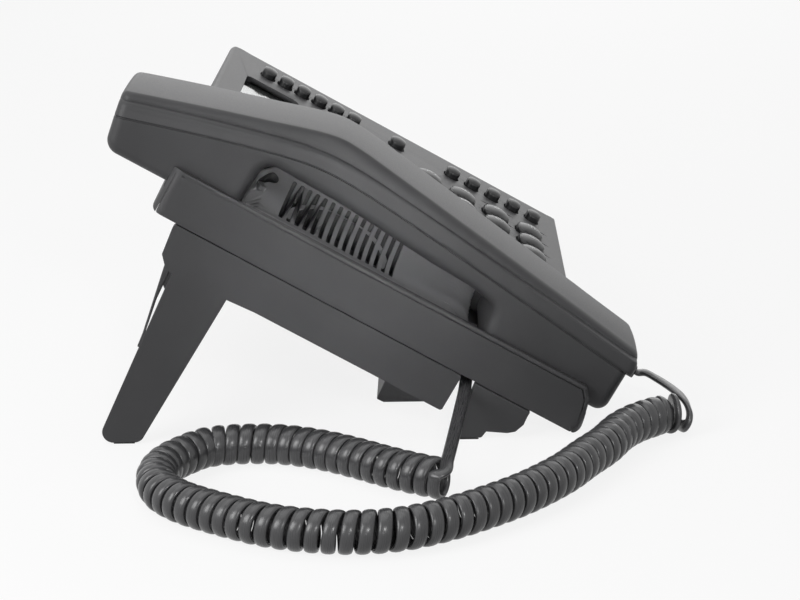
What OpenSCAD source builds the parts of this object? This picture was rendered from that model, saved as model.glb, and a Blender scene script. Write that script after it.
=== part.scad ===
// Desk telephone on a clip-on wedge stand: a tilted body with a cradle down its left side,
// a handset lying in the cradle, a key panel, and a curly handset cord on the desk.
// Frame: +X to the right of the user, +Y towards the back, +Z up, desk at Z = 0.

/* [Body] */
// Width of the body, side to side
body_w = 190; // [176:1:228]
// Length of the body along the sloping face
body_l = 173; // [165:1:208]
// Height of the body's left side, where the cradle is
side_h = 17.8; // [16.5:0.1:20]
// Height of the key panel above the body's underside
face_h = 27.5; // [26.5:0.1:32]
// Wall thickness of both housings
wall = 2.2; // [1.8:0.1:2.6]
// Radius of the body's corners, seen from above
corner_r = 5; // [3:0.5:8]
// Height of the seam between the two housings
seam_h = 16; // [15.6:0.1:16.4]
// Running clearance between pieces that fit
fit_gap = 0.3; // [0.2:0.05:0.4]

/* [Stand] */
// Slope of the face on the stand, in degrees
tilt = 30; // [25:1:36]
// Height of the body's front edge above the desk
front_gap = 1.4; // [1:0.1:4]
// Depth of the stand's side plates below the body
rail_d = 15.5; // [13:0.5:18]
// Thickness of the stand's plates
plate_t = 3; // [2.5:0.1:4]
// How far the stand's side plates stand out from the body's sides
plate_proud = 0.7; // [0.4:0.1:1.2]
// Thickness of the rubber pads under the feet
pad_t = 0.5; // [0.4:0.1:1.2]
// Width of the leg at the desk, front to back
toe_l = 15.6; // [14:0.2:20]

/* [Handset] */
// Width of the handset
handset_w = 46; // [42:0.5:48]
// Wall thickness of the handset's shells
shell_t = 2.2; // [1.8:0.1:2.5]
// Height of the ledge above the handset's seam, on its side
ledge_h = 5.4; // [4:0.1:6.5]
// Radius of the lower shell's long edges
under_r = 5; // [3:0.5:6]

/* [Cradle] */
// Radius of the finger trough under the handle
trough_r = 45; // [40:1:52]
// Depth of the recesses' floor above the body's underside
recess_h = 9.7; // [9.4:0.1:10]
// Number of slots in the loudspeaker grille
slot_count = 15; // [9:2:17]
// Spacing of the grille's slots
slot_pitch = 3.3; // [2.8:0.1:3.5]
// Width of each grille slot
slot_w = 1.6; // [1.2:0.1:1.9]

/* [Keys] */
// Width of a round key, across the panel
round_key_w = 9; // [7:0.1:10]
// Length of a round key, front to back
round_key_l = 6; // [5:0.1:6.4]
// Height of the round keys above the panel
round_key_h = 4; // [2:0.1:4.6]
// Width of a dial key
dial_key_w = 12.8; // [11:0.1:14]
// Length of a dial key, front to back
dial_key_l = 11.6; // [10:0.1:12.5]
// Height of the dial keys above the panel
key_h = 3.8; // [1.8:0.1:4.4]
// Travel of a key
key_travel = 1.4; // [1:0.1:1.5]
// Spacing of the dial keys across the panel
dial_pitch_x = 17; // [16.5:0.5:19]
// Spacing of the dial keys along the panel
dial_pitch_y = 16; // [14.8:0.1:17]

/* [Cord] */
// Outer diameter of the curled part of the cord
coil_d = 14.5; // [13:0.1:14.5]
// Width of the flat cord
cord_w = 4.8; // [4.2:0.1:5]
// Thickness of the flat cord
cord_t = 2.2; // [1.8:0.1:2.4]

/* [Hidden] */

// ---- colours ----
shell_col = [0.16, 0.16, 0.17];
key_col = [0.10, 0.10, 0.11];
rubber_col = [0.06, 0.06, 0.06];
board_col = [0.10, 0.32, 0.20];
metal_col = [0.72, 0.72, 0.74];
socket_col = [0.05, 0.05, 0.05];

// ---- places on the body, measured from its front lower edge along the slope ----
half_w = body_w / 2;
cradle_wall = 1.8;
rim_t = 1.9;
seam_gap = 0.15;
handset_x = -half_w + 3.5 + handset_w / 2;
cradle_x1 = -half_w + 2.9;
cradle_x2 = handset_x + handset_w / 2 + 2;
inner_x = cradle_x2 + cradle_wall;
column_x = half_w - 25;
panel_x = (inner_x + column_x) / 2 + 9.5;
face_in = face_h - wall;
nose_lean = 2;
brow_l = 12.6;
edge_r = 2;

// ---- the stand, in the desk's frame, from the body's front lower edge ----
toe_rear = body_l - 1.4;
toe_front = toe_rear - toe_l;
toe_r = 4;
leg_top_rear = 155.6;
leg_top_front = 133.9;
rail_rear = 163;
rail_front = 46.5;
foot_rear = 41;
foot_front = 18;
sole_rear = 44.5;
sole_front = 33.6;
bar_x = 56;
bar_rear = 71;
bar_front = 50;
deck_t = 2;

// ---- handset, along the body from its front lower edge ----
ear_end = 199.7;
mouth_end = -6.6;
nose_end = -8.8;
cup_h = recess_h + fit_gap;
ear_wall = 146.6;
mouth_wall = 47.2;
end_r = 4;
end_lean = 0.17;
cord_exit_h = 24.9;
groove = 0.5;
belly = 0.2;
ear_v = 178.5;
mic_v = 14;
post_v = [33, 158];

// ---- inside the body ----
board_t = 1.6;
board_h = 15.4;
mat_t = 1;
mat_h = board_h + board_t;
dome_h = 1.1;
key_foot_h = mat_h + mat_t + dome_h + fit_gap + key_travel;
flange_t = 1;
flange_top = face_in - fit_gap;
lens_t = 1.5;
window_w = 60;
window_l = 24;
window_v = 150;
speaker_v = 106.5;
speaker_r = 21;
speaker_h = 6.5;
basin_h = recess_h - wall;
hook_v = 158;
hook_travel = 3.5;
hook_w = 9;
hook_l = 5;
screw_x = [inner_x + 5.2, half_w - 7];
screw_v = [22, body_l - 12];
boss_top = board_h - 1.6;
board_x1 = screw_x[0] + 5;
board_x2 = screw_x[1] - 5;
board_v1 = 9.5;
board_v2 = body_l - 5.5;
socket_x = panel_x - 8;
socket_w = 32;
socket_l = 21;
power_x = panel_x - 34;
headset_x = panel_x + 32;

// ---- modular plugs and jacks of the handset cord ----
plug_w = 7.6;
plug_h = 5.8;
plug_l = 10.5;
boot_w = 7;
boot_h = 4.8;
boot_l = 6.6;
jack_w = 11.4;
jack_h = 9.2;
jack_l = 13;
jack_x = handset_x + 6;
jack_v = 43.5;
jack_axis_h = 1.8;

// ---- keys: place across and along the panel ----
dial_v = 28.5;
line_v = 113.3;
line_pitch = 8.1;
feature_v = 25.7;
feature_pitch = 9.85;
message_v = 92;
soft_v = 128;
nav_v = 109;
volume_v = 93;
soft_w = 11;
soft_l = 5;
rocker_w = 28;
rocker_l = 7.5;
nav_w = 12;
nav_l = 18;
rocker_h = 1.6;
rock_gap = 0.9;

DIAL_KEYS = ["key_1", "key_2", "key_3", "key_4", "key_5", "key_6", "key_7", "key_8", "key_9",
             "key_star", "key_0", "key_hash"];
LINE_KEYS = [for (i = [1:6]) str("line_key_", i)];
FEATURE_KEYS = [for (i = [1:5]) str("feature_key_", i)];
SOFT_KEYS = [for (i = [1:3]) str("soft_key_", i)];

// ---- frames ----
// A point on the body (along the slope, above the underside) in the desk's frame.
function to_desk(v, h) = [v * cos(tilt) - h * sin(tilt), front_gap + v * sin(tilt) + h * cos(tilt)];
// Points on a round corner.
function arc(c, r, from, to) = [for (k = [0:8]) c + r * [cos(from + (to - from) * k / 8),
                                                         sin(from + (to - from) * k / 8)]];

// Puts the body's own frame (x across, y along the slope, z above the underside) on the stand.
module on_desk() {
    translate([0, front_y, front_gap]) rotate([tilt, 0, 0]) children();
}

// Extrudes a side outline (along the slope, above the underside) across from x1 to x2.
module across(x1, x2) {
    translate([x1, 0, 0]) rotate([90, 0, 90]) linear_extrude(x2 - x1) children();
}

// Extrudes an outline seen from the front (across, above the underside) from v1 to v2.
module along(v1, v2) {
    translate([0, v2, 0]) rotate([90, 0, 0]) linear_extrude(v2 - v1) children();
}

// A block from corner to corner.
module block(low, high) {
    translate(low) cube(high - low);
}

module rounded_rect(w, l, r) {
    square([w - 2 * r, l], center = true);
    square([w, l - 2 * r], center = true);
    for (x = [-1, 1], y = [-1, 1]) translate([x * (w / 2 - r), y * (l / 2 - r)]) circle(r = r, $fn = 32);
}

// ---- body outlines ----
module side_outline(top_h, inset = 0) {
    brow_v = 1.4 + (brow_l - 1.4) * (top_h - 13.8) / (face_h - 13.8);
    offset(delta = -inset) offset(r = edge_r, $fn = 24) offset(delta = -edge_r)
        polygon([[0, 0], [-nose_lean, 2], [1.4, 13.8], [brow_v, top_h], [body_l, top_h], [body_l, 0]]);
}

module plan_outline(inset = 0) {
    translate([0, (body_l - nose_lean) / 2])
        rounded_rect(body_w - 2 * inset, body_l + nose_lean - 2 * inset, corner_r - inset);
}

// What lies inside a line drawn in by d at the front and rear ends only.
module within_ends(d) {
    across(-half_w - 1, half_w + 1) {
        side_outline(face_h, d);
        translate([0, -6]) side_outline(face_h, d);
    }
}

// The body's solid form: low over the cradle, high over the panel.
module body_form(inset = 0) {
    intersection() {
        union() {
            across(-half_w, cradle_x2 + 0.01) side_outline(side_h, inset);
            across(cradle_x2, half_w) side_outline(face_h, inset);
        }
        linear_extrude(face_h) plan_outline(inset);
    }
}

module trough_region(r, x1, x2, v1, v2) {
    along(v1, v2) intersection() {
        translate([handset_x, 12 + trough_r]) circle(r = r, $fn = 96);
        translate([x1, 0]) square([x2 - x1, 60]);
    }
}

// ---- keys ----
module key_hole(w, l, r) {
    translate([0, 0, face_in - 1]) linear_extrude(wall + 2) rounded_rect(w + 0.7, l + 0.7, r + 0.35);
}

module round_hole(more = 0) {
    key_hole(round_key_w + more, round_key_l + more, (round_key_l + more) / 2 - 0.05);
}

module at_dial(i) {
    translate([panel_x + (i % 3 - 1) * dial_pitch_x, dial_v + (3 - floor(i / 3)) * dial_pitch_y, 0])
        children();
}

module at_line(i) {
    translate([column_x, line_v + (5 - i) * line_pitch, 0]) children();
}

module at_feature(i) {
    translate([column_x, feature_v + (4 - i) * feature_pitch, 0]) children();
}

module at_soft(i) {
    translate([panel_x + (i - 1) * dial_pitch_x, soft_v, 0]) children();
}

// A key with a rounded outline and a domed top, a flange under the panel and a stem over its dome switch.
module domed_key(w, l, r, h, dome_r) {
    color(key_col) union() {
        intersection() {
            translate([0, 0, face_h - 1]) linear_extrude(h + 1) rounded_rect(w, l, r);
            translate([0, 0, face_h + h - dome_r]) sphere(r = dome_r, $fn = 72);
        }
        translate([0, 0, flange_top]) linear_extrude(face_h - flange_top - 0.5) rounded_rect(w, l, r);
        translate([0, 0, flange_top - flange_t]) linear_extrude(flange_t) rounded_rect(w + 1.6, l + 1.6, r);
        translate([0, 0, key_foot_h])
            cylinder(h = flange_top - key_foot_h, d = min(w, l) * 0.6, $fn = 32);
    }
}

module round_key(more = 0) {
    w = round_key_w + more;
    l = round_key_l + more;
    domed_key(w, l, l / 2 - 0.05, round_key_h, w * 0.8);
}

// ---- housings ----
module at_screws() {
    for (x = screw_x, v = screw_v) translate([x, v, 0]) children();
}

module top_housing() {
    seat_h = 12 - wall;
    on_desk() color(shell_col) union() {
        difference() {
            union() {
                difference() {
                    intersection() {
                        body_form();
                        block([-half_w, -10, seam_h], [half_w, body_l + 10, face_h]);
                    }
                    difference() {
                        body_form(wall);
                        block([-half_w, -10, 0], [inner_x, body_l + 10, face_h]);
                    }
                }
                intersection() {
                    body_form();
                    block([cradle_x1 - fit_gap, -10, basin_h], [inner_x, body_l + 10, seam_h + 0.1]);
                }
                // rims that wrap down over the front and rear ends
                difference() {
                    intersection() {
                        body_form();
                        block([-half_w, -10, 0], [half_w, body_l + 10, seam_h + 0.1]);
                    }
                    within_ends(rim_t);
                }
                at_screws() translate([0, 0, boss_top + fit_gap])
                    cylinder(h = face_in - boss_top, r = 3.2, $fn = 32);
            }
            socket_openings();
            // finger trough under the handle, with the hollow below its floor
            trough_region(trough_r, cradle_x1, cradle_x2, mouth_wall + 3, ear_wall - 1.5);
            along(mouth_wall + 7, ear_wall - 6) difference() {
                translate([cradle_x1 + wall, 0]) square([cradle_x2 - cradle_x1 - 2 * wall, 14]);
                translate([handset_x, 12 + trough_r]) circle(r = trough_r + wall, $fn = 96);
            }
            // recesses for the two cups, open through the ends of the body
            block([cradle_x1, ear_wall - 1.6, recess_h], [cradle_x2, body_l + 10, face_h + 1]);
            block([cradle_x1, -10, recess_h], [cradle_x2, mouth_wall + 3.1, face_h + 1]);
            // loudspeaker grille
            for (i = [0:slot_count - 1])
                translate([handset_x + 1, speaker_v + (i - (slot_count - 1) / 2) * slot_pitch, seat_h - 3])
                    linear_extrude(12) rounded_rect(39, slot_w, slot_w / 2 - 0.01);
            // seat of the retainer tab, and the hook plunger's hole
            translate([handset_x + 16, 139, recess_h]) cylinder(h = 20, d = 7, $fn = 32);
            translate([handset_x, hook_v, 0]) linear_extrude(recess_h + 1)
                rounded_rect(hook_w + 2 * fit_gap, hook_l + 2 * fit_gap, 1.5);
            // display opening and key holes
            translate([panel_x, window_v, face_in - 1]) linear_extrude(wall + 2)
                rounded_rect(window_w, window_l, 2.5);
            for (i = [0:11]) at_dial(i) key_hole(dial_key_w, dial_key_l, 4);
            for (i = [0:5]) at_line(i) round_hole();
            for (i = [0:4]) at_feature(i) round_hole();
            for (i = [0:2]) at_soft(i) key_hole(soft_w, soft_l, 2.4);
            translate([column_x, message_v, 0]) round_hole(0.6);
            translate([panel_x, nav_v, 0]) key_hole(nav_w, nav_l, 5);
            translate([panel_x, volume_v, 0]) key_hole(rocker_w, rocker_l, 3.6);
            // microphone hole, screw holes
            translate([inner_x + 18, 19, face_in - 1]) cylinder(h = 6, d = 1.4, $fn = 24);
            at_screws() translate([0, 0, boss_top - 1]) cylinder(h = face_in - boss_top - 1, r = 1.5, $fn = 24);
        }
        // seat of the loudspeaker under the trough's floor
        difference() {
            translate([handset_x, speaker_v, seat_h - fit_gap]) difference() {
                cylinder(h = 14 - seat_h, r = speaker_r, $fn = 64);
                translate([0, 0, -1]) cylinder(h = 20, r = speaker_r - 2.4, $fn = 64);
            }
            trough_region(trough_r + wall - 0.4, cradle_x1, cradle_x2, 0, body_l);
        }
    }
}

module socket_openings() {
    block([socket_x, body_l - 8, wall], [socket_x + socket_w, body_l + 5, board_h]);
    block([power_x - 0.2, body_l - 8, 3.9], [power_x + 9.2, body_l + 5, board_h]);
    block([headset_x - 0.2, body_l - 8, 5.9], [headset_x + jack_w + 0.2, body_l + 5, board_h]);
}

module bottom_housing() {
    on_desk() color(shell_col) difference() {
        union() {
            difference() {
                intersection() {
                    body_form();
                    block([-half_w, -10, 0], [half_w, body_l + 10, seam_h]);
                    within_ends(rim_t + seam_gap);
                }
                intersection() {
                    linear_extrude(face_h) plan_outline(wall);
                    across(-half_w, half_w) side_outline(face_h + 10, wall);
                    within_ends(rim_t + seam_gap + wall);
                }
                block([cradle_x1 - 2 * fit_gap, -10, basin_h - fit_gap],
                      [inner_x + fit_gap, body_l + 10, face_h]);
            }
            intersection() {
                body_form();
                within_ends(rim_t + seam_gap);
                union() {
                    at_screws() cylinder(h = boss_top, r = 4.2, $fn = 32);
                    for (x = [board_x1 + 4, board_x2 - 4], v = [board_v1 + 5, board_v2 - 30])
                        translate([x, v, 0]) cylinder(h = board_h, r = 3, $fn = 32);
                    // box of the handset jack and its pocket
                    block([jack_x - 26, jack_v - 7, 0], [jack_x + jack_l + 1.8, jack_v + 7, basin_h - fit_gap]);
                }
            }
            block([jack_x - 1.6, jack_v - 7, -4.2], [jack_x + jack_l + 1.8, jack_v + 7, 1]);
            // ribs round the loudspeaker
            intersection() {
                translate([handset_x, speaker_v, 0]) difference() {
                    cylinder(h = 5, r = speaker_r + 1.6, $fn = 64);
                    cylinder(h = 5.1, r = speaker_r + fit_gap, $fn = 64);
                }
                block([handset_x - 60, speaker_v - 60, 0.5], [handset_x + 60, speaker_v + 60, 5]);
            }
        }
        // jack's seat and mouth, plug's pocket
        block([jack_x, jack_v - jack_w / 2 - fit_gap, jack_axis_h - jack_h / 2 - fit_gap],
              [jack_x + jack_l + fit_gap, jack_v + jack_w / 2 + fit_gap, face_h]);
        block([jack_x - 3, jack_v - 4.6, jack_axis_h - 4], [jack_x + 1, jack_v + 4.6, jack_axis_h + 3.6]);
        block([jack_x - 24.4, jack_v - 5.4, -1], [jack_x - 1.6, jack_v + 5.4, 5.4]);
        // screws
        at_screws() {
            translate([0, 0, -1]) cylinder(h = 30, r = 1.6, $fn = 24);
            translate([0, 0, -1]) cylinder(h = 3.4, r = 3, $fn = 32);
        }
        socket_openings();
        // vents in the underside
        for (i = [-4:4]) translate([panel_x + 5 * i, 60, -1]) linear_extrude(6) rounded_rect(2, 30, 0.9);
    }
}

module housing_screws() {
    on_desk() color(metal_col) at_screws() {
        translate([0, 0, 0.6]) difference() {
            cylinder(h = 1.8, r = 2.6, $fn = 32);
            for (a = [0, 90]) rotate([0, 0, a]) translate([0, 0, 0.4]) cube([2.6, 0.6, 1], center = true);
        }
        translate([0, 0, 2.3]) cylinder(h = 18, r = 1.4, $fn = 24);
    }
}

// ---- stand ----
module stand() {
    z0 = pad_t;
    under = -fit_gap;
    rear = concat(
        [to_desk(rail_front, under), to_desk(rail_front, -rail_d), to_desk(leg_top_front - 11, -rail_d - 0.2),
         to_desk(leg_top_front, -rail_d - 0.9)],
        arc([toe_front + toe_r, z0 + toe_r], toe_r, 212, 270), arc([toe_rear - toe_r, z0 + toe_r], toe_r, 270, 385),
        [to_desk(leg_top_rear, -17.4), to_desk(158.7, -16.1), to_desk(161.9, -12.3), to_desk(rail_rear, -2.4),
         to_desk(rail_rear, under)]);
    front = concat(
        [to_desk(foot_front, under), to_desk(foot_front, -2.5)],
        [[18.2, 5.2], [21.2, 2.6], [24.1, 2.1], [28.5, 2.5], [31.8, 2.8], [sole_front, z0], [sole_rear, z0]],
        [to_desk(foot_rear, under)]);
    bar = concat(
        [to_desk(bar_front + 3, under), [bar_front, z0], [bar_rear - 1, z0], [bar_rear + 1.7, z0 + 1.4],
         [bar_rear - 1.6, 9]],
        [to_desk(bar_rear + 6, under)]);
    rib = concat([to_desk(leg_top_rear + 1, -15), to_desk(159.4, -15)],
                 [[150.3, 54.6], [154.9, 42.2], [157.2, 37], [155.6, 37], [153.7, 43], [149.3, 54.6]]);
    panel = [to_desk(150, -6), to_desk(152.6, -6), to_desk(leg_top_rear - 1, -17), [157.5, 30], [155, 30],
             to_desk(leg_top_rear - 4, -17)];
    translate([0, front_y, 0]) color(shell_col) union() {
        for (x = [-half_w - plate_proud, half_w + plate_proud - plate_t]) {
            across(x, x + plate_t) offset(r = 1.2, $fn = 24) offset(delta = -1.2) polygon(rear);
            across(x, x + plate_t) polygon(front);
            across(x + 0.5, x + plate_t - 0.5) polygon(rib);
        }
        // cross-member with its flat sole, hollow from the front
        difference() {
            across(-bar_x, bar_x) polygon(bar);
            across(-bar_x + wall, bar_x - wall) translate([-wall, wall / 2]) polygon(bar);
        }
        across(-half_w, half_w) polygon(panel);
        // deck under the body, left open round the handset jack
        translate([0, 0, front_gap]) rotate([tilt, 0, 0]) {
            block([-half_w, foot_front + 1, under - deck_t], [half_w, jack_v - 8.5, under]);
            block([-half_w, jack_v + 8.5, under - deck_t], [half_w, 82, under]);
            block([jack_x + jack_l + 8, foot_front + 1, under - deck_t], [half_w, 82, under]);
            block([-half_w, 140, under - deck_t], [half_w, 158, under]);
        }
    }
}

module rubber_feet() {
    translate([0, front_y, 0]) color(rubber_col) {
        for (x = [-half_w - plate_proud, half_w + plate_proud - plate_t]) {
            block([x + 0.3, toe_front + toe_r, 0], [x + plate_t - 0.3, toe_rear - toe_r, pad_t]);
            block([x + 0.3, sole_front + 1, 0], [x + plate_t - 0.3, sole_rear - 0.5, pad_t]);
        }
        for (x = [-bar_x + 3, bar_x - 15])
            block([x, bar_front + 2, 0], [x + 12, bar_rear - 3, pad_t]);
    }
}

// ---- electronics of the body ----
module main_board() {
    on_desk() color(board_col) union() {
        difference() {
            block([board_x1, board_v1, board_h], [board_x2, board_v2, board_h + board_t]);
            block([board_x1 - 1, board_v1 - 1, 0], [board_x1 + 9, board_v1 + 4, 30]);
        }
        block([panel_x - 30, 96, board_h - 3], [panel_x - 12, 114, board_h + 0.01]);
        block([panel_x + 4, 100, board_h - 2.4], [panel_x + 18, 112, board_h + 0.01]);
        block([panel_x - 34, 40, board_h - 9], [panel_x - 24, 50, board_h + 0.01]);
        translate([panel_x + 34, 40, board_h - 10]) cylinder(h = 10.01, r = 4, $fn = 32);
    }
}

module key_mat() {
    on_desk() color([0.75, 0.75, 0.72]) union() {
        block([panel_x - 29, 18, mat_h], [panel_x + 29, 131.8, mat_h + mat_t]);
        block([column_x - 5.5, 18, mat_h], [column_x + 5, 158.5, mat_h + mat_t]);
        block([panel_x + 28, 18, mat_h], [column_x, 110, mat_h + mat_t]);
        for (i = [0:11]) at_dial(i) dome_switch(3);
        for (i = [0:5]) at_line(i) dome_switch(2);
        for (i = [0:4]) at_feature(i) dome_switch(2);
        for (i = [0:2]) at_soft(i) dome_switch(1.6);
        translate([column_x, message_v, 0]) dome_switch(2);
        for (s = [-1, 1]) {
            translate([panel_x, nav_v + s * 5.5, 0]) dome_switch(2);
            translate([panel_x + s * 9.5, volume_v, 0]) dome_switch(2);
        }
    }
}

module dome_switch(r) {
    translate([0, 0, mat_h + mat_t - 0.01]) cylinder(h = dome_h, r1 = r, r2 = r * 0.7, $fn = 24);
}

module display_window() {
    on_desk() color([0.30, 0.34, 0.30]) translate([panel_x, window_v, face_in - lens_t])
        linear_extrude(lens_t) rounded_rect(window_w + 6, window_l + 6, 3);
}

module display_module() {
    w = window_w + 9;
    l = window_l + 9;
    on_desk() color([0.55, 0.58, 0.50]) union() {
        translate([panel_x, window_v, mat_h]) linear_extrude(4.2) square([w, l], center = true);
        translate([panel_x, window_v, mat_h + 4]) linear_extrude(face_in - lens_t - fit_gap - mat_h - 4)
            square([w - 4, l - 4], center = true);
    }
}

module loudspeaker() {
    top = 12 - wall - fit_gap;
    on_desk() color([0.22, 0.22, 0.23]) translate([handset_x, speaker_v, top]) rotate([180, 0, 0]) union() {
        difference() {
            cylinder(h = 2, r = speaker_r, $fn = 64);
            translate([0, 0, -0.1]) cylinder(h = 1.3, r1 = speaker_r - 3, r2 = 8, $fn = 64);
        }
        translate([0, 0, 1.9]) cylinder(h = 2, r1 = speaker_r - 2, r2 = 13, $fn = 64);
        translate([0, 0, 3.8]) cylinder(h = speaker_h - 3.8, r = 11, $fn = 64);
    }
}

module base_microphone() {
    on_desk() color([0.2, 0.2, 0.2]) translate([inner_x + 18, 19, mat_h])
        cylinder(h = face_in - fit_gap - mat_h, r = 3.6, $fn = 32);
}

// The plunger stands below the ear cup and rises when the handset is lifted.
module hook_plunger() {
    on_desk() color(key_col) translate([handset_x, hook_v, 0]) union() {
        foot = basin_h - fit_gap - hook_travel;
        translate([0, 0, foot - 0.5]) linear_extrude(recess_h - foot + 0.3) rounded_rect(hook_w, hook_l, 1.2);
        translate([0, 0, foot - 1]) linear_extrude(1) rounded_rect(hook_w + 3, hook_l + 3, 1.2);
        block([4, -0.6, foot - 1], [13, 0.6, foot]);
    }
}

module hook_switch() {
    on_desk() color(socket_col) translate([handset_x + 12.5, hook_v, wall]) difference() {
        block([-4, -4, 0], [4, 4, 5]);
        block([-5, -1.2, 0.4], [2, 1.2, 6]);
    }
}

// ---- sockets ----
module jack_body(w, h, l, mouth_w, mouth_h, deep) {
    difference() {
        block([-w / 2, -l, -h / 2], [w / 2, 0, h / 2]);
        block([-mouth_w / 2, -deep, -mouth_h / 2], [mouth_w / 2, 1, mouth_h / 2]);
        block([-1.7, -deep, mouth_h / 2 - 1], [1.7, 1, mouth_h / 2 + 1]);
    }
}

module network_sockets() {
    h = board_h - wall - 2 * fit_gap;
    on_desk() color(socket_col) translate([socket_x + fit_gap, body_l - 0.4, board_h - h / 2]) difference() {
        block([0, -socket_l, -h / 2], [socket_w - 2 * fit_gap, 0, h / 2]);
        for (x = [0.25, 0.75]) translate([(socket_w - 2 * fit_gap) * x, 0, 0.4]) {
            block([-5.9, -15, -4], [5.9, 1, 4]);
            block([-3, -15, -5.4], [3, 1, -3.9]);
        }
    }
}

module power_socket() {
    on_desk() color(socket_col) translate([power_x + 4.5, body_l - 0.4, board_h - 5.6]) difference() {
        block([-4.5, -14, -5.6], [4.5, 0, 5.6]);
        rotate([-90, 0, 0]) translate([0, 0, -11]) difference() {
            cylinder(h = 12, r = 3.4, $fn = 32);
            cylinder(h = 9.5, r = 1, $fn = 24);
        }
    }
}

module headset_jack() {
    on_desk() color(socket_col) translate([headset_x + jack_w / 2, body_l - 0.4, board_h - jack_h / 2])
        mirror([0, 0, 1]) jack_body(jack_w, jack_h, jack_l, plug_w + 0.4, plug_h + 0.4, plug_l + 0.6);
}

module handset_jack() {
    on_desk() color(socket_col) translate([jack_x, jack_v, jack_axis_h]) rotate([0, 0, 90])
        jack_body(jack_w, jack_h, jack_l, plug_w + 0.4, plug_h + 0.4, plug_l + 0.6);
}

module retainer_tab() {
    on_desk() color(shell_col) translate([handset_x + 16, 139, recess_h]) union() {
        cylinder(h = 4.4, d = 6.4, $fn = 32);
        difference() {
            cylinder(h = 7, d = 6.4, $fn = 32);
            block([-4, -4, 4.4], [4, -0.4, 8]);
        }
    }
}

// ---- handset: lofted shells ----
function soft_min(a, b, k) = (a + b - sqrt(pow(a - b, 2) + k * k)) / 2;
function clamp01(t) = max(0, min(1, t));
function quarter(d, r) = d >= r ? 0 : r - sqrt(r * r - pow(r - max(d, 0), 2));
function top_line(v) = soft_min(36.5 + 0.1435 * (v + 7.3), 31.5 + 0.3185 * (201 - v), 3);
function seam_line(v) = soft_min(28.6 + 0.125 * (v + 5), 23.5 + 0.299 * (199.5 - v), 7);
function ledge_w(v) = 2.8 * clamp01((100 - v) / 90);
function half_plan(v, v1, v2) = handset_w / 2 - quarter(min(v - v1, v2 - v), end_r);
function lean(v, h) = end_lean * (h - 23.4) * clamp01((v - 150) / 45)
                      + 0.22 * max(0, h - 30.5) * clamp01((20 - v) / 28);

// Underside of the handset: the two cups and the arch of the handle between them.
UNDER = [[-20, 10], [43.2, 10], [45.5, 11.2], [46.6, 13.5], [47.2, 17], [47.8, 22.7], [49.4, 25], [52.2, 26.7],
         [59, 28.4], [75.6, 29.2], [90, 30.8], [114.8, 32.7], [133.6, 33.1], [140.8, 32.8], [143.5, 31.2],
         [145, 28.5], [146, 21.5], [146.6, 15], [147.4, 12], [149.2, 10.4], [151.4, 10], [220, 10]];
UNDER_IN = [[-20, 12.2], [41, 12.2], [43.3, 13.4], [44.4, 15.7], [45, 19], [45.6, 24.9], [47.2, 27.2],
            [51, 28.9], [59, 30.6], [75.6, 31.4], [90, 33], [114.8, 34.9], [133.6, 35.3], [142, 35], [145, 33],
            [147.1, 30], [148.2, 21.5], [148.8, 16], [149.6, 14], [151.4, 12.6], [153.4, 12.2], [220, 12.2]];
function under_line(v) = lookup(v, UNDER) - 10 + cup_h;
function under_in(v) = lookup(v, UNDER_IN) - 12.2 + cup_h + shell_t;

STEPS = [0, 0.3, 0.9, 1.8, 3, 4.5];
UPPER_V = concat([for (d = STEPS) nose_end + d], [for (v = [4:9:190]) v],
                 [for (i = [5:-1:0]) ear_end - STEPS[i]]);
LOWER_V = concat([for (d = STEPS) mouth_end + d], [6, 20, 34, 43.2],
                 [for (i = [2:16]) UNDER[i][0]], [147.4, 149.2, 151.4, 162, 174, 186],
                 [for (i = [5:-1:0]) ear_end - STEPS[i]]);

// Puts the middle of the feet and the handset's nose over the origin.
nose_y = min([for (v = UPPER_V, a = upper_half(v)) to_desk(v + lean(v, a[1]), a[1])[0]]);
front_y = -(toe_rear + nose_y) / 2;

// Half sections, from the seam to the middle: x from the handset's middle plane, and height.
function upper_half(v) = let (
    w = half_plan(v, nose_end, ear_end), s = seam_line(v), l = ledge_w(v),
    t = top_line(v) - quarter(min(v - nose_end, ear_end - v), 1.8),
    c = min(s + ledge_h, t - 2.2), xs = w - 0.8 - l, zs = c + 0.2 + 0.12 * l,
    wt = w - 5.5 - 3 * clamp01((100 - v) / 90))
    concat([[w, s], [w, c - 0.8], [w - 0.8, c], [xs, zs]],
           [for (a = [22.5:22.5:90]) [xs - (xs - wt) * (1 - cos(a)), zs + (t - 0.5 - zs) * sin(a)]],
           [[wt / 2, t - 0.12]]);

function lower_half(v) = let (
    w = half_plan(v, mouth_end, ear_end), s = seam_line(v) - fit_gap / 2,
    e = quarter(min(v - mouth_end, ear_end - v), 4), b = under_line(v) + e, y = belly * e,
    r = min(under_r, s - b - 1.3))
    concat([[w - groove, s], [w - groove, s - groove], [w, s - groove - 0.1]],
           [for (a = [0:22.5:90]) [w - r + r * cos(a), b + y + r - r * sin(a)]],
           [[(w - r) / 2, b + y / 4]]);

// Walls inside: the same sections drawn in by the shell's thickness.
function upper_in(v, v1, v2) = let (
    vi = v1 + shell_t + (v - v1) * (v2 - v1 - 2 * shell_t) / (v2 - v1), p = upper_half(v),
    k = (half_plan(v, v1, v2) - shell_t) / half_plan(v, v1, v2), s = seam_line(vi), t = top_line(v),
    q = (top_line(vi) - shell_t - s) / (t - seam_line(v)))
    [for (a = p) [a[0] * k, s + (a[1] - seam_line(v)) * q]];

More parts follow.
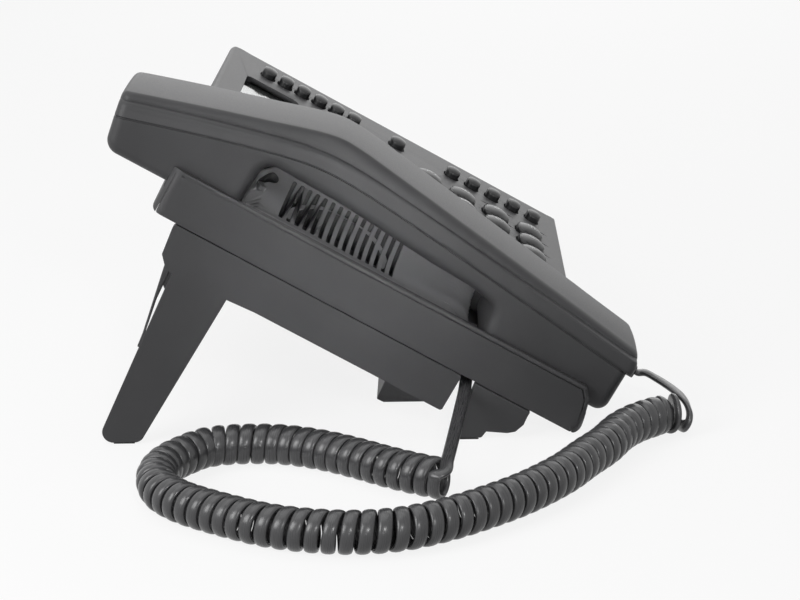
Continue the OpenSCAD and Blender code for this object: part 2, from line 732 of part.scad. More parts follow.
function lower_in(v, v1, v2) = let (
    vi = v1 + shell_t + (v - v1) * (v2 - v1 - 2 * shell_t) / (v2 - v1), p = lower_half(v),
    k = (half_plan(v, v1, v2) - shell_t) / half_plan(v, v1, v2), s = seam_line(vi) - fit_gap / 2,
    b = under_in(vi), b0 = under_line(v) + quarter(min(v - v1, v2 - v), 4), s0 = seam_line(v) - fit_gap / 2)
    [for (a = p) [a[0] * k, s + (a[1] - s0) * (s - b) / (s0 - b0)]];

function mirror_half(p, z_mid) = concat(p, [[0, z_mid]], [for (i = [len(p) - 1:-1:0]) [-p[i][0], p[i][1]]]);
function ring(p, v) = [for (a = p) [handset_x + a[0], v + lean(v, a[1]), a[1]]];

// A shell between an outer and an inner grid of points, open along the seam.
module loft_shell(outer, inner, flip) {
    n = len(outer);
    m = len(outer[0]);
    pts = concat([for (r = outer) each r], [for (r = inner) each r]);
    o = function(i, j) i * m + j;
    q = function(i, j) (n + i) * m + j;
    tris = concat(
        [for (i = [0:n - 2], j = [0:m - 2]) each [[o(i, j), o(i, j + 1), o(i + 1, j + 1)],
                                                  [o(i, j), o(i + 1, j + 1), o(i + 1, j)]]],
        [for (i = [0:n - 2], j = [0:m - 2]) each [[q(i, j), q(i + 1, j + 1), q(i, j + 1)],
                                                  [q(i, j), q(i + 1, j), q(i + 1, j + 1)]]],
        [for (i = [0:n - 2]) each [[o(i, 0), o(i + 1, 0), q(i + 1, 0)], [o(i, 0), q(i + 1, 0), q(i, 0)],
                                   [o(i, m - 1), q(i + 1, m - 1), o(i + 1, m - 1)],
                                   [o(i, m - 1), q(i, m - 1), q(i + 1, m - 1)]]],
        [for (j = [0:(m - 3) / 2]) each [
            [o(0, j), o(0, m - 1 - j), o(0, m - 2 - j)], [o(0, j), o(0, m - 2 - j), o(0, j + 1)],
            [q(0, j), q(0, m - 2 - j), q(0, m - 1 - j)], [q(0, j), q(0, j + 1), q(0, m - 2 - j)],
            [o(n - 1, j), o(n - 1, m - 2 - j), o(n - 1, m - 1 - j)],
            [o(n - 1, j), o(n - 1, j + 1), o(n - 1, m - 2 - j)],
            [q(n - 1, j), q(n - 1, m - 1 - j), q(n - 1, m - 2 - j)],
            [q(n - 1, j), q(n - 1, m - 2 - j), q(n - 1, j + 1)]]],
        [[o(0, 0), q(0, 0), q(0, m - 1)], [o(0, 0), q(0, m - 1), o(0, m - 1)],
         [o(n - 1, 0), q(n - 1, m - 1), q(n - 1, 0)], [o(n - 1, 0), o(n - 1, m - 1), q(n - 1, m - 1)]]);
    good = [for (t = tris) if (t[0] != t[1] && t[1] != t[2] && t[0] != t[2]) t];
    polyhedron(pts, flip ? [for (t = good) [t[0], t[2], t[1]]] : good, convexity = 6);
}

module handset_upper_shell() {
    outer = [for (v = UPPER_V) ring(mirror_half(upper_half(v),
        top_line(v) - quarter(min(v - nose_end, ear_end - v), 1.8)), v)];
    inner = [for (v = UPPER_V) let (vi = nose_end + shell_t
        + (v - nose_end) * (ear_end - nose_end - 2 * shell_t) / (ear_end - nose_end))
        ring(mirror_half(upper_in(v, nose_end, ear_end), top_line(vi) - shell_t), vi)];
    on_desk() color(shell_col) difference() {
        union() {
            loft_shell(outer, inner, false);
            for (v = post_v) translate([handset_x, v, 22]) cylinder(h = top_line(v) - 23.5, r = 3, $fn = 24);
        }
        for (v = post_v) translate([handset_x, v, 20]) cylinder(h = 14, r = 1.3, $fn = 24);
    }
}

module handset_lower_shell() {
    outer = [for (v = LOWER_V) ring(mirror_half(lower_half(v),
        under_line(v) + quarter(min(v - mouth_end, ear_end - v), 4)), v)];
    inner = [for (v = LOWER_V) let (vi = mouth_end + shell_t
        + (v - mouth_end) * (ear_end - mouth_end - 2 * shell_t) / (ear_end - mouth_end))
        ring(mirror_half(lower_in(v, mouth_end, ear_end), under_in(vi)), vi)];
    on_desk() color(shell_col) difference() {
        union() {
            loft_shell(outer, inner, true);
            for (v = post_v) translate([handset_x, v, cup_h + 1]) cylinder(h = 20.6 - cup_h, r = 3.4, $fn = 24);
        }
        for (v = post_v) translate([handset_x, v, 0]) {
            cylinder(h = 30, r = 1.4, $fn = 24);
            cylinder(h = cup_h + 2, r = 2.6, $fn = 24);
        }
        // sound holes of the ear and mouth cups
        translate([handset_x, ear_v, 0]) {
            cylinder(h = cup_h + 4, r = 1.3, $fn = 24);
            for (a = [0:60:300]) rotate([0, 0, a]) translate([6.5, 0, 0]) cylinder(h = cup_h + 4, r = 1.3, $fn = 24);
        }
        for (x = [-3.5, 0, 3.5]) translate([handset_x + x, mic_v, 0]) cylinder(h = cup_h + 4, r = 0.9, $fn = 24);
        // opening for the cord's plug
        block([handset_x - plug_w / 2 - 0.3, mouth_end - 3, cord_exit_h - plug_h / 2 - 0.3],
              [handset_x + plug_w / 2 + 0.3, mouth_end + 4, seam_line(mouth_end) + 1]);
    }
}

module ear_capsule() {
    on_desk() color([0.35, 0.35, 0.36]) translate([handset_x, ear_v, cup_h + shell_t + fit_gap]) union() {
        cylinder(h = 3, r = 15, $fn = 48);
        cylinder(h = 6.5, r = 11, $fn = 48);
    }
}

module mic_capsule() {
    on_desk() color([0.55, 0.55, 0.56]) translate([handset_x, mic_v, cup_h + shell_t + fit_gap])
        cylinder(h = 5, r = 5, $fn = 32);
}

module handset_weight() {
    on_desk() color([0.5, 0.5, 0.52])
        block([handset_x - 8, 84, 35.9], [handset_x + 8, 130, 43.5]);
}

module handset_screws() {
    on_desk() color(metal_col) for (v = post_v) translate([handset_x, v, cup_h + 0.4]) union() {
        cylinder(h = 1.5, r = 2.3, $fn = 24);
        cylinder(h = 18, r = 1.2, $fn = 24);
    }
}

module handset_socket() {
    on_desk() color(socket_col) translate([handset_x, mouth_end + shell_t + fit_gap, cord_exit_h])
        rotate([0, 0, 180]) jack_body(jack_w, jack_h, jack_l, plug_w + 0.4, plug_h + 0.4, plug_l - 1.4);
}

// ---- handset cord ----
// A modular plug, mating along +Y from the mouth of its jack, with a boot behind it.
module modular_plug() {
    color([0.20, 0.20, 0.21]) union() {
        block([-plug_w / 2, -0.2, -plug_h / 2], [plug_w / 2, plug_l, plug_h / 2]);
        block([-1.5, 1, plug_h / 2 - 0.6], [1.5, plug_l - 4, plug_h / 2 + 0.15]);
        rotate([90, 0, 0]) linear_extrude(boot_l) rounded_rect(boot_w, boot_h, 1.6);
    }
}

module cord_handset_plug() {
    on_desk() translate([handset_x, mouth_end, cord_exit_h]) modular_plug();
}

module cord_base_plug() {
    on_desk() translate([jack_x, jack_v, jack_axis_h]) rotate([0, 0, -90]) modular_plug();
}

// Places the cord passes, on the desk: across and back from the body's front lower edge.
COIL_PATH = [[-91, -38], [-93, -30], [-99, -23.5], [-109, -17], [-125, -9], [-137, -1.5], [-152, 7.5], [-168, 21],
    [-181, 36], [-190, 49], [-196, 61], [-198, 74], [-196.5, 88], [-192, 103], [-184, 118], [-175, 132],
    [-168, 139.5], [-160, 145], [-150, 148], [-141, 148], [-133, 145], [-126.5, 140.5], [-121, 134.5],
    [-118.5, 126], [-118, 116], [-119, 106], [-122, 96], [-127, 86], [-134, 76], [-141, 67], [-147, 58],
    [-151.5, 50]];
HANDSET_END = [[-70.5, -31.5, 13.6], [-74.5, -37, 11.8], [-78.5, -42, 9.8], [-83, -45.5, 8.4], [-87.8, -45, 7.6],
    [-90.3, -41.6, 7.3], [-90.9, -38.4, 7.3]];
BASE_END = [[-101, 42, 15.2], [-112, 44, 11], [-126, 45.4, 8.6], [-141, 43.4, 8], [-148, 42, 7.8], [-152.6, 43, 7.4],
    [-153.6, 46.2, 7.3], [-151.8, 49.5, 7.3]];

function spline(a, b, c, d, t) = 0.5 * ((2 * b) + (c - a) * t + (2 * a - 5 * b + 4 * c - d) * t * t
                                        + (3 * b - a - 3 * c + d) * t * t * t);
function smooth(p, k) = let (n = len(p)) concat(
    [for (i = [0:n - 2], s = [0:k - 1]) spline(p[max(i - 1, 0)], p[i], p[i + 1], p[min(i + 2, n - 1)], s / k)],
    [p[n - 1]]);
function unit(v) = v / norm(v);
function heading(p, i) = unit(p[min(i + 1, len(p) - 1)] - p[max(i - 1, 0)]);

// A tube of width 2a and height 2b along a path.
module tube(p, a, b, sides) {
    n = len(p);
    pts = [for (i = [0:n - 1]) let (t = heading(p, i), s = unit(cross(t, [0, 0, 1])), u = cross(s, t))
           for (k = [0:sides - 1]) p[i] + s * a * cos(360 * k / sides) + u * b * sin(360 * k / sides)];
    polyhedron(pts, concat(
        [for (i = [0:n - 2], k = [0:sides - 1]) each [
            [i * sides + k, (i + 1) * sides + k, i * sides + (k + 1) % sides],
            [i * sides + (k + 1) % sides, (i + 1) * sides + k, (i + 1) * sides + (k + 1) % sides]]],
        [for (k = [1:sides - 2]) each [[0, k, k + 1],
            [(n - 1) * sides, (n - 1) * sides + k + 1, (n - 1) * sides + k]]]), convexity = 8);
}

// The point behind a plug's boot, in the desk's frame measured from the body's front lower edge.
function behind_handset_plug(d) = let (q = to_desk(mouth_end - boot_l - d, cord_exit_h)) [handset_x, q[0], q[1]];
function behind_base_plug(d) = let (q = to_desk(jack_v, jack_axis_h)) [jack_x - boot_l - d, q[0], q[1]];

module cord_handset_end() {
    translate([0, front_y, 0]) color(key_col)
        tube(smooth(concat([behind_handset_plug(0.25), behind_handset_plug(3)], HANDSET_END), 4),
             cord_w / 2, cord_t / 2, 8);
}

module cord_coil() {
    translate([0, front_y, 0]) color(key_col)
        tube(smooth([for (q = COIL_PATH) [q[0], q[1], coil_d / 2 + 0.05]], 2), coil_d / 2, coil_d / 2, 12);
}

module cord_base_end() {
    slot = to_desk(jack_v - 0.5, -4.4);
    translate([0, front_y, 0]) color(key_col)
        tube(smooth(concat([behind_base_plug(0.25), behind_base_plug(4)],
                           [[jack_x - 18, slot[0] - 2.4, slot[1] + 2], [-half_w, slot[0], slot[1]]],
                           BASE_END), 4),
             cord_w / 2, cord_t / 2, 8);
}

// ---- key nodes ----
module dial_key(i) {
    on_desk() at_dial(i) domed_key(dial_key_w, dial_key_l, 4, key_h, dial_key_w * 0.95);
}

module line_key(i) {
    on_desk() at_line(i) round_key();
}

module feature_key(i) {
    on_desk() at_feature(i) round_key();
}

module soft_key(i) {
    on_desk() at_soft(i) domed_key(soft_w, soft_l, 2.4, 2.4, soft_w * 1.1);
}

module message_key() {
    on_desk() translate([column_x, message_v, 0]) round_key(0.6);
}

module nav_rocker() {
    on_desk() translate([panel_x, nav_v, 0]) rocker(nav_w, nav_l, 5);
}

module volume_rocker() {
    on_desk() translate([panel_x, volume_v, 0]) rocker(rocker_w, rocker_l, 3.6);
}

// A two-way key that rocks on a middle foot, with a foot over each of its two dome switches.
module rocker(w, l, r) {
    top = face_in - rock_gap;
    feet = w > l ? [[-w * 0.34, 0], [w * 0.34, 0]] : [[0, -l * 0.3], [0, l * 0.3]];
    color(key_col) union() {
        translate([0, 0, top - 0.1]) linear_extrude(face_h + rocker_h - top + 0.1) rounded_rect(w, l, r);
        translate([0, 0, top - flange_t]) linear_extrude(flange_t) rounded_rect(w + 1.6, l + 1.6, r);
        for (q = feet) translate([q[0], q[1], key_foot_h]) cylinder(h = top - key_foot_h, d = 3, $fn = 24);
        translate([0, 0, mat_h + mat_t + fit_gap]) cylinder(h = top - mat_h - mat_t - fit_gap, d = 2.4, $fn = 24);
    }
}

top_housing();
bottom_housing();
stand();
rubber_feet();
housing_screws();
main_board();
key_mat();
display_window();
display_module();
loudspeaker();
base_microphone();
hook_switch();
hook_plunger();
network_sockets();
power_socket();
handset_jack();
headset_jack();
retainer_tab();
handset_upper_shell();
handset_lower_shell();
ear_capsule();
mic_capsule();
handset_weight();
handset_screws();
handset_socket();
cord_handset_plug();
cord_handset_end();
cord_coil();
cord_base_end();
cord_base_plug();
message_key();
nav_rocker();
volume_rocker();
for (i = [0:11]) dial_key(i);
for (i = [0:5]) line_key(i);
for (i = [0:4]) feature_key(i);
for (i = [0:2]) soft_key(i);
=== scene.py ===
"""Desk telephone with a corded handset on a clip-on stand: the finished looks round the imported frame.

Lengths in the tables and helper calls are millimetres in the body's own frame: x across, v back along the
sloping face from the front lower edge, h above the body's underside. desk() turns them into metres.
"""

import math

import bmesh
import bpy
from bpy.props import FloatProperty, FloatVectorProperty, IntProperty, PointerProperty
from mathutils import Matrix, Vector
from mathutils.bvhtree import BVHTree


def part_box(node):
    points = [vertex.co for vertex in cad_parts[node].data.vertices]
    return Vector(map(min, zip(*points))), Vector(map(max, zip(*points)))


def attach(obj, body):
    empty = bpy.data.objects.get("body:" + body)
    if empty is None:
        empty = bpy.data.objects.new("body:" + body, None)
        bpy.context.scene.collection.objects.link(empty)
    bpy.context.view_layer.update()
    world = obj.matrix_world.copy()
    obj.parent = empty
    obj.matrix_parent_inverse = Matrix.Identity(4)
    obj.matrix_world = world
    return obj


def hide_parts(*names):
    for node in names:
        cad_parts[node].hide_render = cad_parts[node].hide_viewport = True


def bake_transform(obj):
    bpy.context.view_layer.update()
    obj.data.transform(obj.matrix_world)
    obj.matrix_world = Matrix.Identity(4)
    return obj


bl_info = {
    "name": "Desk telephone finisher",
    "version": (1, 0, 0),
    "blender": (4, 2, 0),
    "location": "View3D > Sidebar > Telephone",
    "description": "Finishes a desk telephone: handset, housings, keys, display, sockets and curly cord",
    "category": "Object",
}

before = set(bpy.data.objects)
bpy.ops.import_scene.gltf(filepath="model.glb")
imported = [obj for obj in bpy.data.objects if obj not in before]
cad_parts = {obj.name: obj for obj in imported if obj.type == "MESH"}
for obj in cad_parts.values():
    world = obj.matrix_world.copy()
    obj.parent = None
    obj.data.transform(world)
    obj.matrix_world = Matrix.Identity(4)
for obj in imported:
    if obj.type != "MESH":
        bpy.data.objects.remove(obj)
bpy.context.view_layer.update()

MM = 0.001
TILT = math.radians(30)
GAP = 1.4  # the body's lower front edge above the desk
# The cord's jack in the body's underside, and half its size along the face and across it.
JACK_X = -62.5
JACK_V = 43.5
JACK_H = 1.8
JACK_HALF = (5.7, 4.6)
FRONT_Y = (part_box("handset_jack")[0].y / MM - (JACK_V - JACK_HALF[0]) * math.cos(TILT)
           + (JACK_H + JACK_HALF[1]) * math.sin(TILT))
HALF_W = 95.0
FACE_H = 27.5  # the panel above the underside
SIDE_H = 17.8  # the left side's upper edge above the underside
HANDSET_X = -68.5
HANDSET_HALF = 23.0
NOSE_END = -8.8  # front ends of the handset's upper and lower shells, and the rear end of both
MOUTH_END = -6.6
EAR_END = 199.7
CORD_H = 24.9  # the cord's way out of the handset
COIL_D = 14.5


# ---- places ----
def clamp01(t):
    return max(0.0, min(1.0, t))


def smoothstep(low, high, t):
    t = clamp01((t - low) / (high - low))
    return t * t * (3 - 2 * t)


def desk(x, v, h):
    """A place on the body, in millimetres, as a point of the desk's frame in metres."""
    y = v * math.cos(TILT) - h * math.sin(TILT) + FRONT_Y
    z = v * math.sin(TILT) + h * math.cos(TILT) + GAP
    return Vector((x, y, z)) * MM


ON_BODY = Matrix.Translation(desk(0, 0, 0)) @ Matrix.Rotation(TILT, 4, "X") @ Matrix.Scale(MM, 4)


# ---- settings ----
class BodySettings(bpy.types.PropertyGroup):
    edge_round: FloatProperty(name="Edge rounding", description="Radius of the housings' outer edges",
                              default=0.0008, min=0.0002, max=0.002, unit="LENGTH")
    shell_colour: FloatVectorProperty(name="Plastic", description="Colour of the charcoal plastic",
                                      default=(0.052, 0.052, 0.054), size=3, min=0, max=1, subtype="COLOR")


class HandsetSettings(bpy.types.PropertyGroup):
    shell_wall: FloatProperty(name="Wall", description="Wall thickness of the handset's shells",
                              default=0.0018, min=0.001, max=0.0025, unit="LENGTH")
    parting_gap: FloatProperty(name="Parting groove", default=0.0005, min=0.0, max=0.001, unit="LENGTH",
                               description="Depth of the groove between the two shells")


class CordSettings(bpy.types.PropertyGroup):
    width: FloatProperty(name="Width", description="Width of the flat cord", default=0.0047, min=0.003,
                         max=0.006, unit="LENGTH")
    thickness: FloatProperty(name="Thickness", description="Thickness of the flat cord", default=0.0022,
                             min=0.0015, max=0.0035, unit="LENGTH")
    pitch: FloatProperty(name="Pitch", description="Distance between the coil's turns", default=0.0053,
                         min=0.005, max=0.008, unit="LENGTH")
    turn_points: IntProperty(name="Points per turn", description="Points of the centreline in each turn",
                             default=30, min=12, max=48)
    jacket_colour: FloatVectorProperty(name="Jacket", description="Colour of the cord's jacket",
                                       default=(0.045, 0.045, 0.047), size=3, min=0, max=1, subtype="COLOR")


class KeySettings(bpy.types.PropertyGroup):
    key_colour: FloatVectorProperty(name="Keys", description="Colour of the key caps",
                                    default=(0.014, 0.014, 0.015), size=3, min=0, max=1, subtype="COLOR")
    ink_colour: FloatVectorProperty(name="Numerals", description="Colour of the numerals on the dial keys",
                                    default=(0.55, 0.56, 0.56), size=3, min=0, max=1, subtype="COLOR")
    cap_round: FloatProperty(name="Cap rounding", description="Radius of the caps' upper edges",
                             default=0.0009, min=0.0003, max=0.0014, unit="LENGTH")


class StageSettings(bpy.types.PropertyGroup):
    lamp_power: FloatProperty(name="Overhead lamp", description="Power of the large overhead lamp",
                              default=6.2, min=0, max=60, unit="POWER")
    fill_power: FloatProperty(name="Fill lamp", description="Power of the lamp beside the camera",
                              default=2.5, min=0, max=40, unit="POWER")
    low_power: FloatProperty(name="Low lamp", description="Power of the low lamp at the left",
                             default=0.018, min=0, max=40, unit="POWER")
    rear_power: FloatProperty(name="Rear lamp", description="Power of the lamp at the rear left",
                              default=3.6, min=0, max=40, unit="POWER")
    far_power: FloatProperty(name="Far lamp", description="Power of the wide lamp beyond the phone",
                             default=2.6, min=0, max=40, unit="POWER")
    sky: FloatProperty(name="Sky", description="Strength of the even light from all round", default=0.12,
                       min=0, max=1)


# ---- materials ----
class Nodes:
    """A short way to write a material's nodes."""

    def __init__(self, name):
        self.material = bpy.data.materials.new(name)
        self.material.use_nodes = True
        self.tree = self.material.node_tree
        self.shader = self.tree.nodes["Principled BSDF"]

    def add(self, kind, sockets=None, **settings):
        made = self.tree.nodes.new(kind)
        for key, value in settings.items():
            setattr(made, key, value)
        for key, value in (sockets or {}).items():
            if isinstance(value, bpy.types.NodeSocket):
                self.tree.links.new(value, made.inputs[key])
            else:
                made.inputs[key].default_value = value
        return made

    def set(self, **values):
        for key, value in values.items():
            socket = self.shader.inputs[key.replace("_", " ")]
            if isinstance(value, bpy.types.NodeSocket):
                self.tree.links.new(value, socket)
            else:
                socket.default_value = value

    def place(self):
        return self.add("ShaderNodeTexCoord").outputs["Object"]

    def noise(self, scale, detail=2.0, rough=0.5, vector=None):
        sockets = {"Vector": vector or self.place(), "Scale": scale, "Detail": detail, "Roughness": rough}
        return self.add("ShaderNodeTexNoise", sockets).outputs["Fac"]

    def ramp(self, value, low, high, out_low, out_high):
        sockets = {"Value": value, "From Min": low, "From Max": high, "To Min": out_low, "To Max": out_high}
        return self.add("ShaderNodeMapRange", sockets).outputs["Result"]

    def tint(self, factor, colour, other):
        made = self.add("ShaderNodeMix", data_type="RGBA")
        self.tree.links.new(factor, made.inputs[0])
        made.inputs[6].default_value = (*colour, 1)
        made.inputs[7].default_value = (*other, 1)
        return made.outputs[2]

    def bump(self, height, strength, distance, under=None):
        sockets = {"Height": height, "Strength": strength, "Distance": distance}
        if under:
            sockets["Normal"] = under
        return self.add("ShaderNodeBump", sockets).outputs["Normal"]


def moulded_plastic(name, colour, rough, grain=0.35, scale=2600.0, spread=0.12, shine=0.5):
    """Moulded plastic with a fine spark-eroded grain and faint cloudiness."""
    n = Nodes(name)
    cloud = n.noise(28.0, 3.0)
    fine = n.noise(scale, 3.0, 0.6)
    lighter = tuple(min(1.0, c * (1 + spread)) for c in colour)
    darker = tuple(c * (1 - spread) for c in colour)
    n.set(Base_Color=n.tint(n.ramp(cloud, 0.3, 0.7, 0, 1), darker, lighter),
          Roughness=n.ramp(fine, 0.3, 0.7, rough - 0.05, rough + 0.06),
          Normal=n.bump(fine, grain, 0.00005), Specular_IOR_Level=shine)
    return n.material


def plain_metal(name, colour, rough):
    n = Nodes(name)
    brushed = n.noise(900.0, 2.0)
    n.set(Base_Color=(*colour, 1), Metallic=1.0, Roughness=n.ramp(brushed, 0.3, 0.7, rough, rough + 0.12),
          Normal=n.bump(brushed, 0.15, 0.00003))
    return n.material


def circuit_board():
    """Green board with slightly raised tracks."""
    n = Nodes("circuit_board")
    tracks = n.add("ShaderNodeTexBrick", {"Vector": n.place(), "Scale": 120.0, "Mortar Size": 0.03,
                                          "Color1": (0.01, 0.09, 0.045, 1), "Color2": (0.012, 0.11, 0.055, 1),
                                          "Mortar": (0.03, 0.2, 0.1, 1)})
    n.set(Base_Color=tracks.outputs["Color"], Roughness=0.35,
          Normal=n.bump(tracks.outputs["Fac"], 0.4, 0.0001))
    return n.material


def smoked_lens():
    n = Nodes("smoked_lens")
    haze = n.noise(60.0, 2.0)
    n.set(Base_Color=n.tint(haze, (0.30, 0.32, 0.31), (0.36, 0.38, 0.37)), Roughness=0.06,
          Transmission_Weight=1.0, IOR=1.49)
    return n.material


def display_glass():
    """Unlit liquid-crystal panel: grey-green, with its fine grid of cells."""
    n = Nodes("display_panel")
    cells = n.add("ShaderNodeTexBrick", {"Vector": n.place(), "Scale": 900.0, "Mortar Size": 0.06,
                                         "Color1": (0.10, 0.115, 0.085, 1), "Color2": (0.105, 0.12, 0.09, 1),
                                         "Mortar": (0.08, 0.092, 0.07, 1)}, offset=0.0)
    n.set(Base_Color=cells.outputs["Color"], Roughness=0.25)
    return n.material


def cord_jacket(colour):
    """Soft vinyl: smooth along the cord, with faint flow lines in its own length direction."""
    n = Nodes("cord_jacket")
    uv = n.add("ShaderNodeUVMap", uv_map="jacket").outputs["UV"]
    along = n.add("ShaderNodeMapping", {"Vector": uv, "Scale": (14.0, 60.0, 1.0)}).outputs["Vector"]
    flow = n.noise(1.0, 2.0, vector=along)
    dust = n.noise(160.0, 3.0)
    lighter = tuple(c * 1.25 for c in colour)
    n.set(Base_Color=n.tint(n.ramp(dust, 0.35, 0.7, 0, 1), colour, lighter),
          Roughness=n.ramp(flow, 0.3, 0.7, 0.24, 0.33), Normal=n.bump(flow, 0.12, 0.00006))
    return n.material


FINISHES = {}


def finish(name):
    return FINISHES[name]


def mix_finishes(scene):
    shell = tuple(scene.phone_body.shell_colour)
    keys = tuple(scene.phone_keys.key_colour)
    FINISHES.update({
        "charcoal_shell": moulded_plastic("charcoal_shell", shell, 0.47, shine=0.25),
        # Painted light: a copy of the shell's plastic at 4.6 times its colour, standing in for the light that
        # falls into the finger trough
        "trough_painted_light": moulded_plastic("trough_painted_light", tuple(min(1.0, 4.6 * c) for c in shell), 0.42),
        "key_plastic": moulded_plastic("key_plastic", keys, 0.32, 0.05, 1800.0, 0.08, shine=0.4),
        "key_ink": moulded_plastic("key_ink", tuple(scene.phone_keys.ink_colour), 0.5, 0.1, 3000.0, 0.05),
        "rubber": moulded_plastic("rubber", (0.022, 0.022, 0.022), 0.82, 0.6, 1500.0, 0.2),
        "steel": plain_metal("steel", (0.62, 0.62, 0.63), 0.26),
        "weight_steel": plain_metal("weight_steel", (0.35, 0.35, 0.36), 0.4),
        "contact_gold": plain_metal("contact_gold", (0.80, 0.58, 0.25), 0.22),
        "circuit_board": circuit_board(),
        "key_mat_rubber": moulded_plastic("key_mat_rubber", (0.50, 0.50, 0.47), 0.7, 0.3, 1200.0, 0.06),
        "display_lens": smoked_lens(),
        "display_panel": display_glass(),
        "speaker_parts": moulded_plastic("speaker_parts", (0.05, 0.05, 0.052), 0.6, 0.5, 1600.0, 0.2),
        "socket_plastic": moulded_plastic("socket_plastic", (0.012, 0.012, 0.012), 0.38, 0.15, 2400.0, 0.1),
        "plug_plastic": moulded_plastic("plug_plastic", (0.03, 0.03, 0.032), 0.2, 0.05, 2400.0, 0.1),
        "cord_jacket": cord_jacket(tuple(scene.phone_cord.jacket_colour)),
    })


# ---- making pieces ----
def mark_creases(bm, angle):
    for e in bm.edges:
        e.smooth = len(e.link_faces) != 2 or e.calc_face_angle(0) < math.radians(angle)
    for f in bm.faces:
        f.smooth = True


def piece(name, bm, material, body, nodes=(), crease=35.0, place=True):
    """Makes the finished mesh into a piece that rides on a body and stands for CAD nodes."""
    if place:
        bmesh.ops.transform(bm, matrix=ON_BODY, verts=bm.verts)
    mark_creases(bm, crease)
    mesh = bpy.data.meshes.new(name)
    bm.to_mesh(mesh)
    bm.free()
    mesh.materials.append(finish(material))
    obj = bpy.data.objects.new(name, mesh)
    bpy.context.scene.collection.objects.link(obj)
    if body:
        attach(obj, body)
    if nodes:
        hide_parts(*nodes)
    return obj


def cad_copy(node):
    """The node's own mesh in the body's millimetres, its loose triangles joined into flat faces."""
    bm = bmesh.new()
    bm.from_mesh(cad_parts[node].data)
    bmesh.ops.transform(bm, matrix=ON_BODY.inverted(), verts=bm.verts)
    bmesh.ops.remove_doubles(bm, verts=bm.verts, dist=0.002)
    bmesh.ops.dissolve_limit(bm, angle_limit=math.radians(1.5), verts=bm.verts, edges=bm.edges)
    return bm


def soften(bm, width, segments=2, angle=38.0, where=None):
    """Rounds the sharp outer edges that where picks."""
    edges = []
    for e in bm.edges:
        if len(e.link_faces) == 2 and e.is_convex and e.calc_face_angle(0) > math.radians(angle):
            if where is None or where((e.verts[0].co + e.verts[1].co) / 2, e):
                edges.append(e)
    if edges:
        bmesh.ops.bevel(bm, geom=edges, offset=width, offset_type="OFFSET", segments=segments, profile=0.5,
                        affect="EDGES", clamp_overlap=False, material=-1, loop_slide=True)


def weighted(obj):
    """Keeps the shading of the large flat faces flat beside their rounded edges."""
    made = obj.modifiers.new("flat faces stay flat", "WEIGHTED_NORMAL")
    made.keep_sharp = True
    made.weight = 60
    return obj


def redress(node, material):
    """Gives a CAD node that stays its finish."""
    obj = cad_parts[node]
    if not obj.data.materials:
        obj.data.materials.append(None)
    for k in range(len(obj.material_slots)):
        obj.material_slots[k].material = finish(material)


# ---- stage ----
CAMERA_PITCH = math.radians(17.05)
CAMERA_TURN = math.radians(1.17)
CAMERA_ROLL = math.radians(1.15)
CAMERA_PLACE = Vector((-842.5, 46.9 + FRONT_Y, 282.5)) * MM
CAMERA_LENS = 98.6
WHITE = (1, 1, 1, 1)
FLOOR_GREY = 0.42
FLOOR_GLOW = 1.22
FLOOR_GLOW_SHARE = 0.7
WORLD_WHITE = 1.12


def see_white(tree, shader, white, amount):
    """Mixes a plain white in for the camera, reflections and glass."""
    path = tree.nodes.new("ShaderNodeLightPath")
    total = None
    for ray in ("Is Camera Ray", "Is Glossy Ray", "Is Transmission Ray"):
        if total is None:
            total = path.outputs[ray]
        else:
            made = tree.nodes.new("ShaderNodeMath")
            made.operation = "MAXIMUM"
            tree.links.new(total, made.inputs[0])
            tree.links.new(path.outputs[ray], made.inputs[1])
            total = made.outputs[0]
    part = tree.nodes.new("ShaderNodeMath")
    part.operation = "MULTIPLY"
    part.inputs[1].default_value = amount
    tree.links.new(total, part.inputs[0])
    mixed = tree.nodes.new("ShaderNodeMixShader")
    tree.links.new(part.outputs[0], mixed.inputs[0])
    tree.links.new(shader, mixed.inputs[1])
    tree.links.new(white, mixed.inputs[2])
    return mixed.outputs[0]


def area_lamp(name, place, aim, size, power, spread=180.0):
    """A square lamp at a place, turned towards the aim."""
    data = bpy.data.lights.new(name, "AREA")
    data.shape = "SQUARE"
    data.size = size
    data.energy = power
    data.spread = math.radians(spread)
    obj = bpy.data.objects.new(name, data)
    bpy.context.scene.collection.objects.link(obj)
    obj.location = place
    obj.rotation_euler = (Vector(aim) - Vector(place)).to_track_quat("-Z", "Y").to_euler()


